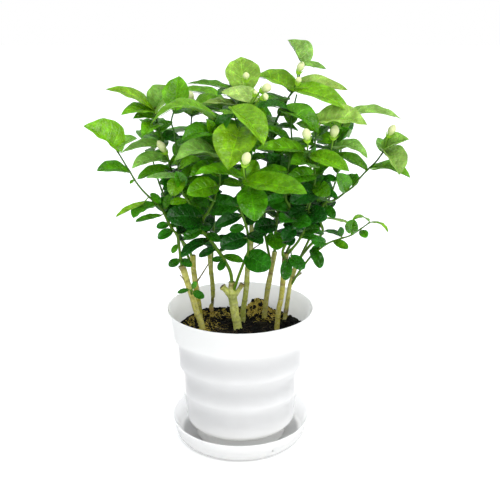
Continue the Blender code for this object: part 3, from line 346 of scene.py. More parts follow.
# Points (across, up, back, radius) of each cane's stems, from the soil upwards, as seen from the front
CANES = {
    "cane_a": [[(-42, 126, 8, 3.4), (-48, 145, 8, 3.3), (-52, 162, 7, 3.2), (-57, 178, 6, 3.3),
                (-60.5, 191, 5, 3.5), (-62.5, 197, 5, 4.2)]],
    "cane_b": [[(-44, 140, 36, 3.2), (-45, 150, 36, 3.1), (-47, 169, 35, 3.0), (-48.5, 179, 35, 3.2),
                (-50, 193, 35, 3.0), (-50.5, 208.5, 35, 3.3)]],
    "cane_c": [[(-31.7, 145.5, 52, 2.8), (-30.2, 154, 52, 1.7), (-30.2, 160, 52, 1.7),
                (-29.7, 163, 52, 2.4), (-30, 177, 52, 2.5), (-32.5, 205.5, 52, 2.5),
                (-31.7, 212.5, 52, 2.7)]],
    "cane_d": [[(-3, 124.5, 6, 4.7), (-5.5, 140, 5, 4.5), (-7, 152.5, 4, 4.5), (-8.5, 163, 4, 4.8),
                (-9, 178.5, 3, 3.5)],
               [(-7.5, 157, 4, 3.4), (-13.5, 166.5, 3, 3.1), (-19.3, 173.5, 2, 3.0)],
               [(-8, 159, 4, 2.8), (-2.5, 168, 3, 2.4), (2.5, 176, 2, 2.3)]],
    "cane_e": [[(3, 140, 30, 3.1), (5.5, 162, 30, 3.0), (7, 177, 30, 3.1), (8, 193, 30, 2.8),
                (11.5, 216.5, 30, 2.6), (12, 243, 29, 2.4)]],
    "cane_f": [[(26, 134, 36, 3.1), (28.5, 160.5, 36, 2.9), (31, 178, 36, 3.2), (33, 189, 36, 2.8),
                (35, 200.5, 36, 2.8), (37, 212.5, 36, 2.9)]],
    "cane_g": [[(40, 124, 5, 3.0), (42, 146, 5, 2.8), (44.5, 160.5, 4, 2.8), (46, 177, 4, 3.0),
                (47, 192, 3, 2.8), (48, 203, 3, 3.4), (48.5, 211, 3, 3.8)]],
    "cane_h": [[(48.5, 133, 34, 2.4), (50, 145.5, 34, 2.6), (53.5, 173, 34, 2.3), (56.5, 185, 34, 2.4),
                (59, 195, 34, 2.5)]],
}
# Node rings of each cane, as heights seen from the front
RINGS = {"cane_a": (142, 163, 181), "cane_b": (152, 171, 190), "cane_c": (157, 170, 188),
         "cane_d": (135, 154, 166, 173), "cane_e": (158, 178, 196, 222), "cane_f": (150, 171, 189, 203),
         "cane_g": (138, 160, 177, 194), "cane_h": (145.5, 160, 174, 186)}
BARK = {"cane_a": "#D4CE6C", "cane_b": "#B2AC40", "cane_c": "#A8AC4A", "cane_d": "#D2D870",
        "cane_e": "#A8B04E", "cane_f": "#B8B25C", "cane_g": "#B4AC4C", "cane_h": "#C4C066"}
# Darker places of the bark, as (height seen from the front, reach, colour)
STAINS = {"cane_a": [(196, 4, "#6A5A2C")], "cane_c": [(157, 4.5, "#3A2A1C"), (147, 4, "#C49A5C")],
          "cane_d": [(176, 3, "#6A5426"), (160, 6, "#8A9450")], "cane_f": [(189, 1.6, "#7A6636")],
          "cane_g": [(205, 4, "#5E4C2A"), (177, 1.6, "#8A7440")], "cane_h": [(145.5, 3, "#5A4426")]}
# Dry twigs: the cane, the start and the end as seen from the front, and the radius
TWIGS = [("cane_a", (-49, 175, 7), (-34.2, 198.5, 4), 0.8), ("cane_a", (-57, 174, 6), (-65, 186.5, 2), 0.7),
         ("cane_h", (55, 180, 34), (66, 189, 31), 1.3), ("cane_e", (11, 213.5, 30), (24, 222.8, 26), 0.7)]


def spot(across, up, back):
    """The point in millimetres that is seen at (across, up) and lies this far behind the pot's axis."""
    reach = (back - EYE.y) / -EYE.y
    return Vector((EYE.x + (across - EYE.x) * reach, back, EYE.z + (up - EYE.z) * reach))


class Skin:
    """Closed surfaces gathered for one mesh, in millimetres, each of rings of points."""

    def __init__(self):
        self.points, self.tints, self.faces, self.marks, self.kinds = [], [], [], [], []
        self.total = 0

    def rings(self, rows, marks, tint, kinds=0, caps=(0, 0)):
        """Rows of points round a closed shape, and for each its (u, v) mark, with one more at the seam."""
        count, around = rows.shape[:2]
        index = np.arange(count * around).reshape(count, around)
        after = np.roll(index, -1, axis=1)
        quads = np.stack([index[:-1], after[:-1], after[1:], index[1:]], axis=-1).reshape(-1, 4)
        corners = np.stack([marks[:-1, :-1], marks[:-1, 1:], marks[1:, 1:], marks[1:, :-1]], axis=2)
        corners = corners.reshape(-1, 4, 2)
        flat = rows.reshape(-1, 3)
        ends = [index[0][::-1], index[-1]]
        fans = [np.stack([np.full(around - 2, end[0]), end[1:-1], end[2:]], axis=1) for end in ends]
        shell = np.concatenate([quads[:, :3], quads[:, [0, 2, 3]], *fans])
        inward = np.linalg.det(flat[shell] - flat.mean(axis=0)).sum() < 0
        order = -1 if inward else 1
        self.faces += (quads[:, ::order] + self.total).tolist()
        self.marks.append(corners[:, ::order].reshape(-1, 2))
        self.kinds.append(np.broadcast_to(kinds, (count - 1, around)).reshape(-1))
        for end, mark, kind in zip(ends, (marks[0, :-1][::-1], marks[-1, :-1]), caps):
            self.faces.append((end[::order] + self.total).tolist())
            self.marks.append(mark[::order])
            self.kinds.append([kind])
        self.points.append(flat)
        self.tints.append(np.broadcast_to(tint, (count, around, 4)).reshape(-1, 4))
        self.total += len(flat)

    def piece(self, name, materials):
        """The object of all that was gathered."""
        mesh = bpy.data.meshes.new(name)
        mesh.from_pydata(np.concatenate(self.points) * MM, [], self.faces)
        marks = mesh.uv_layers.new(name="place")
        marks.data.foreach_set("uv", np.concatenate(self.marks).astype(np.float32).ravel())
        tints = mesh.attributes.new("tint", "FLOAT_COLOR", "POINT")
        tints.data.foreach_set("color", np.concatenate(self.tints).astype(np.float32).ravel())
        mesh.polygons.foreach_set("material_index", np.concatenate(self.kinds).astype(np.int32))
        for material in materials:
            mesh.materials.append(material)
        mesh.shade_smooth()
        mesh.set_sharp_from_angle(angle=math.radians(55))
        return new_object(name, mesh)


def line_through(points, radii, step):
    """A rounded line through the points: places, radii, directions, two sideways directions, lengths."""
    points = np.array([tuple(point) for point in points], float)
    padded = np.vstack([2 * points[0] - points[1], points, 2 * points[-1] - points[-2]])
    places, widths = [], []
    for number in range(len(points) - 1):
        a, b, c, d = padded[number:number + 4]
        count = max(2, round(np.linalg.norm(c - b) / step))
        for part in np.arange(count) / count:
            places.append(b + (c - a) * part / 2 + (2 * a - 5 * b + 4 * c - d) * part ** 2 / 2
                          + (3 * b - a - 3 * c + d) * part ** 3 / 2)
            ease = part * part * (3 - 2 * part)
            widths.append(radii[number] + (radii[number + 1] - radii[number]) * ease)
    places = np.array(places + [points[-1]])
    widths = np.array(widths + [radii[-1]])
    ways = np.gradient(places, axis=0)
    ways /= np.linalg.norm(ways, axis=1, keepdims=True)
    side = np.cross(ways[0], (0.31, 0.93, 0.2))
    sides = np.empty_like(ways)
    for number, way in enumerate(ways):
        side = side - way * side.dot(way)
        side /= np.linalg.norm(side)
        sides[number] = side
    walked = np.concatenate([[0], np.cumsum(np.linalg.norm(np.diff(places, axis=0), axis=1))])
    return places, widths, ways, sides, np.cross(ways, sides), walked


def sweep(skin, line, around, tint, swell=None, kinds=0, caps=(0, 0)):
    """A rod round a line, with a factor on its radius at each point of each ring."""
    places, widths, _, sides, ups, walked = line
    angles = np.arange(around) * 2 * math.pi / around
    radii = widths[:, None] * (np.ones(around) if swell is None else swell)
    rows = (places[:, None] + radii[..., None] * (np.cos(angles)[None, :, None] * sides[:, None]
                                                  + np.sin(angles)[None, :, None] * ups[:, None]))
    across = np.broadcast_to(np.arange(around + 1) / around, (len(places), around + 1))
    marks = np.stack([across, np.broadcast_to(walked[:, None], across.shape)], axis=-1)
    skin.rings(rows, marks, tint, kinds, caps)


def bark_material():
    """Thin bark: matt, streaked along its length, with pale cork patches and dark lenticels.

    Nine streaks go round a cane, each some 5 mm long, and five lenticels 1.4 mm apart along it. The cork
    patches are about 4 mm across. Real lenticels are finer, and are drawn as coarse as they need to show.
    """
    material, tree, shader = finish("jasmine_bark", "#A09A58", 0.7, Specular_IOR_Level=0.25)
    tint = add(tree, "Attribute", attribute_name="tint").outputs["Color"]
    marks = add(tree, "UVMap", uv_map="place").outputs["UV"]
    place = add(tree, "TexCoord").outputs["Object"]
    grain_place = add(tree, "Mapping", {"Vector": marks, "Scale": (9.0, 0.22, 1.0)}).outputs[0]
    grain = add(tree, "TexNoise", {"Vector": grain_place, "Scale": 1.0, "Detail": 5.0, "Roughness": 0.65})
    patches = add(tree, "TexNoise", {"Vector": place, "Scale": 240.0, "Detail": 3.0, "Roughness": 0.6})
    spots_place = add(tree, "Mapping", {"Vector": marks, "Scale": (5.0, 0.7, 1.0)}).outputs[0]
    spots = add(tree, "TexVoronoi", {"Vector": spots_place, "Scale": 1.0, "Randomness": 1.0})
    dark = add(tree, "MapRange", {"Value": spots.outputs["Distance"], "From Min": 0.1, "From Max": 0.22,
                                  "To Min": 0.35, "To Max": 1.0})
    streak = add(tree, "MapRange", {"Value": grain.outputs["Fac"], "From Min": 0.32, "From Max": 0.68,
                                    "To Min": 0.66, "To Max": 1.12})
    cork = add(tree, "MapRange", {"Value": patches.outputs["Fac"], "From Min": 0.5, "From Max": 0.66,
                                  "To Min": 0.0, "To Max": 0.28})
    shade = add(tree, "Math", {0: dark.outputs[0], 1: streak.outputs[0]}, operation="MULTIPLY")
    wood = add(tree, "VectorMath", {0: tint, "Scale": shade.outputs[0]}, operation="SCALE")
    colour = add(tree, "Mix", {"Factor": cork.outputs[0], "A": wood.outputs[0], "B": linear("#E2DCC0")},
                 data_type="RGBA")
    tree.links.new(colour.outputs["Result"], shader.inputs["Base Color"])
    relief = add(tree, "Bump", {"Height": shade.outputs[0], "Strength": 0.6, "Distance": 0.0003})
    tree.links.new(relief.outputs[0], shader.inputs["Normal"])
    return material


def cut_wood_material():
    """Dry cut wood: matt and dark, mottled by pores drawn about 1 mm apart, coarser than real ones."""
    material, tree, shader = finish("cut_wood", "#6B5636", 0.85)
    place = add(tree, "TexCoord").outputs["Object"]
    grain = add(tree, "TexNoise", {"Vector": place, "Scale": 900.0, "Detail": 3.0})
    colour = add(tree, "Mix", {"Factor": grain.outputs["Fac"], "A": linear("#2E2214"),
                               "B": linear("#7A6440")}, data_type="RGBA")
    tree.links.new(colour.outputs["Result"], shader.inputs["Base Color"])
    return material


bark = bark_material()
cut_wood = cut_wood_material()
draw = random.Random(11)
cane_lines = {}
for name, stems in CANES.items():
    skin = Skin()
    cane_lines[name] = []
    for number, stem in enumerate(stems):
        path = [spot(*point[:3]) for point in stem]
        radii = [point[3] for point in stem]
        if number == 0:
            path.insert(0, Vector((path[0].x * ROOT_LEAN, path[0].y * ROOT_LEAN, SOIL_HEIGHT - ROOT_DEPTH)))
            radii.insert(0, radii[0])
        cane_lines[name].append((path, radii))
        tip_way = (path[-1] - path[-2]).normalized()
        line = line_through(path, radii, 1.1)
        places, widths, ways, sides, ups, walked = line
        heights = EYE.z + (places[:, 2] - EYE.z) * -EYE.y / (places[:, 1] - EYE.y)
        ring = sum(np.exp(-((heights - mark) / 1.0) ** 2) for mark in RINGS[name])
        dark = sum(np.exp(-((heights - mark + 0.9) / 1.1) ** 2) for mark in RINGS[name])
        angles = np.arange(BARK_SIDES) * 2 * math.pi / BARK_SIDES
        swell = np.ones((len(places), BARK_SIDES))
        for _ in range(BARK_WAVES):
            lobes, pitch = draw.choice((2, 3, 5, 7)), draw.uniform(-0.2, 0.2)
            wave = np.sin(lobes * angles[None] + pitch * walked[:, None] + draw.uniform(0, 6))
            swell += WAVE_HEIGHT * wave
        for _ in range(KNOBS):
            place, bearing = draw.uniform(20, walked[-1]), draw.uniform(0, 6.28)
            size = draw.uniform(*KNOB_HEIGHTS)
            turned_by = np.abs((angles[None] - bearing + math.pi) % (2 * math.pi) - math.pi)
            swell += size * np.exp(-((walked[:, None] - place) / 1.6) ** 2 - (turned_by / 0.45) ** 2)
        swell += RING_HEIGHT * ring[:, None] * (1 + 0.8 * np.sin(2 * angles[None] + draw.uniform(0, 6)))
        top = places[-1] + np.array(tip_way)[None] * np.array([[0.35], [0.3], [0.0]])
        places = np.vstack([places, top])
        widths = np.concatenate([widths, widths[-1] * np.array([0.88, 0.5, 0.14])])
        more = [np.vstack([part, np.repeat(part[-1:], 3, axis=0)]) for part in (ways, sides, ups)]
        walked = np.concatenate([walked, walked[-1] + np.array([0.4, 1.5, 2.5])])
        swell = np.vstack([swell, np.repeat(swell[-1:], 3, axis=0)])
        base = np.array(linear(BARK[name]))
        green = np.array(linear("#8E9E4A"))
        blend = np.clip((heights - 150) / 90, 0, 1)[:, None] * 0.6
        colours = base * (1 - blend) + green * blend
        colours = colours * (1 - 0.3 * np.clip(dark, 0, 1)[:, None])
        for mark, reach, code in STAINS.get(name, ()):
            stain = 0.75 * np.exp(-((heights - mark) / reach) ** 2)[:, None]
            colours = colours * (1 - stain) + np.array(linear(code)) * stain
        colours = np.vstack([colours, np.repeat(colours[-1:], 3, axis=0)])
        kinds = np.zeros((len(places) - 1, BARK_SIDES), int)
        kinds[-2:] = 1
        sweep(skin, (places, widths, *more, walked), BARK_SIDES, colours[:, None], swell, kinds, (0, 1))
    for cane, start, end, radius in TWIGS:
        if cane == name:
            start, end = spot(*start), spot(*end)
            middle = (start + end) / 2 + Vector((0.6, -0.8, 0.9))
            line = line_through([start, middle, end], [radius * 1.2, radius, radius * 0.8], 1.2)
            sweep(skin, line, 10, np.array(linear("#6E6A38")), caps=(0, 1))
    cane = skin.piece(name + "_bark", [bark, cut_wood])
    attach(cane, "root")
    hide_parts(name)


# The soil: dark peaty compost, crumbly on top, with golden coir threads in it, heaped a little at the
# back. Crumbs and threads lie loose on one bed, which fills the pot.
SOIL_EDGE = CREST_RADII[0] - WALL - SCALLOP_DEPTH - GAP - 0.25
SOIL_FOOT = CREST_RADII[-1] - WALL - SCALLOP_DEPTH - GAP - 0.05
SOIL_STEPS = 144
# Heaps of coir and peat as (across, back, height, spread), and the waves of the crumbs as (height,
# turn per mm across, turn per mm back, start)
HEAPS = ((20, 54, 17, 190), (-34, 50, 4, 420), (58, 22, 7, 60))
CRUMB_WAVES = ((0.45, 0.21, 0.17, 0.9), (0.45, 0.21, -0.17, 1.7), (0.5, 0.43, -0.38, 0.0))
CRUMBS = 1700
THREADS = 1500
# Where the threads gather, as the middle and the spread of (across) and (back), one in turn: twice
# the rear heap, the left heap, the rear left, and old dark ones anywhere
THREAD_PLACES = (((22, 11), (52, 8)), ((22, 11), (52, 8)), ((-46, 10), (22, 14)),
                 ((-20, 18), (52, 8)), ((0, 34), (5, 34)))
FRESH_COIR = ("#D2BA4A", "#B49E38", "#8C7A2C", "#E6CE6A")
OLD_COIR = "#4A3A22"


def soil_top(x, y):
    """Height of the soil's surface: its heaps, its crumbs and a finer unevenness."""
    heaps = sum(height * math.exp(-((x - across) ** 2 + (y - back) ** 2) / spread)
                for across, back, height, spread in HEAPS)
    crumbs = sum(height * math.sin(x * along_x + y * along_y + start)
                 for height, along_x, along_y, start in CRUMB_WAVES)
    return SOIL_HEIGHT + heaps + crumbs + 1.3 * noise.fractal(Vector((x * 0.16, y * 0.16, 3.1)), 0.7, 2.1, 4)


def earth(name, dark, light, threads):
    """Moist compost: matt, nearly black between brown crumbs of about 2 mm, with threads in patches of 17."""
    material, tree, shader = finish(name, dark, 0.95, Specular_IOR_Level=0.25)
    place = add(tree, "TexCoord").outputs["Object"]
    crumbs = add(tree, "TexNoise", {"Vector": place, "Scale": 420.0, "Detail": 6.0, "Roughness": 0.7})
    patches = add(tree, "TexNoise", {"Vector": place, "Scale": 60.0, "Detail": 2.0})
    ground = add(tree, "Mix", {"Factor": crumbs.outputs["Fac"], "A": linear(dark), "B": linear(light)},
                 data_type="RGBA")
    golden = add(tree, "MapRange", {"Value": patches.outputs["Fac"], "From Min": 0.5, "From Max": 0.72})
    colour = add(tree, "Mix", {"Factor": golden.outputs[0], "A": ground.outputs["Result"],
                               "B": linear(threads)}, data_type="RGBA")
    tree.links.new(colour.outputs["Result"], shader.inputs["Base Color"])
    relief = add(tree, "Bump", {"Height": crumbs.outputs["Fac"], "Strength": 0.9, "Distance": 0.0008})
    tree.links.new(relief.outputs[0], shader.inputs["Normal"])
    return material


def coir_material():
    """Coconut fibre: dry and matt, each thread with its own straw colour."""
    material, tree, shader = finish("coir", "#8A6A2A", 0.8)
    tint = add(tree, "Attribute", attribute_name="tint").outputs["Color"]
    tree.links.new(tint, shader.inputs["Base Color"])
    return material


skin = Skin()
rows = [[0.6 + (SOIL_EDGE - 0.6) * part, None] for part in np.linspace(0, 1, 58)]
rows += [[SOIL_EDGE + (SOIL_FOOT - SOIL_EDGE) * part, SOIL_HEIGHT + (FLOOR_HEIGHT + 6 - SOIL_HEIGHT) * part]
         for part in np.linspace(0.08, 1, 10)]
rows += [[SOIL_FOOT - 4, FLOOR_HEIGHT + GAP], [2, FLOOR_HEIGHT + GAP]]
points = np.empty((len(rows), SOIL_STEPS, 3))
for row, (radius, height) in enumerate(rows):
    for step in range(SOIL_STEPS):
        angle = 2 * math.pi * step / SOIL_STEPS
        x, y = radius * math.cos(angle), radius * math.sin(angle)
        points[row, step] = (x, y, soil_top(x, y) if height is None else height)
marks = np.zeros((len(rows), SOIL_STEPS + 1, 2))
skin.rings(points, marks, np.array(linear("#2A1E14")))
compost = earth("damp_compost", "#040404", "#11110F", "#1A180D")
soil_bed = skin.piece("soil_bed", [compost])
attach(soil_bed, "root")
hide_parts("soil")

draw = random.Random(23)
shapes = []
for number in range(7):
    lump = bmesh.new()
    bmesh.ops.create_icosphere(lump, subdivisions=2, radius=1)
    for vertex in lump.verts:
        rough = noise.fractal(vertex.co * 1.4 + Vector((number * 7, 0, 0)), 0.8, 2.0, 3)
        vertex.co *= 1 + 0.5 * rough
        vertex.co.z *= 0.75
    shapes.append((np.array([vertex.co[:] for vertex in lump.verts]),
                   np.array([[vertex.index for vertex in face.verts] for face in lump.faces])))
    lump.free()
corners, faces, total = [], [], 0
for number in range(CRUMBS):
    radius, angle = (SOIL_EDGE - 1.5) * math.sqrt(draw.random()), draw.uniform(0, 2 * math.pi)
    size = draw.uniform(0.5, 1.3) if draw.random() < 0.8 else draw.uniform(1.3, 2.8)
    radius = min(radius, SOIL_EDGE - size * 1.3)
    x, y = radius * math.cos(angle), radius * math.sin(angle)
    shape, sides = shapes[number % len(shapes)]
    angle_drawn = draw.uniform(0, 6.28)
    axis = Vector([draw.gauss(0, 1) for _ in range(3)])
    turn = Matrix.Rotation(angle_drawn, 3, axis)
    placed = shape @ np.array(turn).T * size + (x, y, soil_top(x, y) + size * draw.uniform(-0.1, 0.5))
    corners.append(placed)
    faces.append(sides + total)
    total += len(shape)
mesh = bpy.data.meshes.new("soil_crumbs")
mesh.from_pydata(np.concatenate(corners) * MM, [], np.concatenate(faces).tolist())
mesh.shade_smooth()
crumb = earth("peat_crumbs", "#060606", "#181613", "#242010")
mesh.materials.append(crumb)
soil_crumbs = new_object("soil_crumbs", mesh)
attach(soil_crumbs, "root")
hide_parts("soil")

skin = Skin()
for number in range(THREADS):
    gathered = number % len(THREAD_PLACES)
    x, y = (draw.gauss(*place) for place in THREAD_PLACES[gathered])
    if math.hypot(x, y) > SOIL_EDGE - 6:
        continue
    heading, length = draw.uniform(0, 6.28), draw.uniform(6, 18)
    path = []
    for step in range(4):
        height = soil_top(x, y) + draw.uniform(0.1, 1.0) if 0 < step < 3 else soil_top(x, y) - 0.4
        path.append(Vector((x, y, height)))
        heading += draw.uniform(-0.6, 0.6)
        x += math.cos(heading) * length / 3
        y += math.sin(heading) * length / 3
        if math.hypot(x, y) > SOIL_EDGE - 1:
            break
    if len(path) > 2:
        radius = draw.uniform(0.1, 0.24)
        line = line_through(path, [radius] * len(path), 1.5)
        tint = draw.choice(FRESH_COIR) if gathered < len(THREAD_PLACES) - 1 else OLD_COIR
        sweep(skin, line, 5, np.array(linear(tint)))
coir = skin.piece("soil_coir_threads", [coir_material()])
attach(coir, "root")
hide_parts("soil")
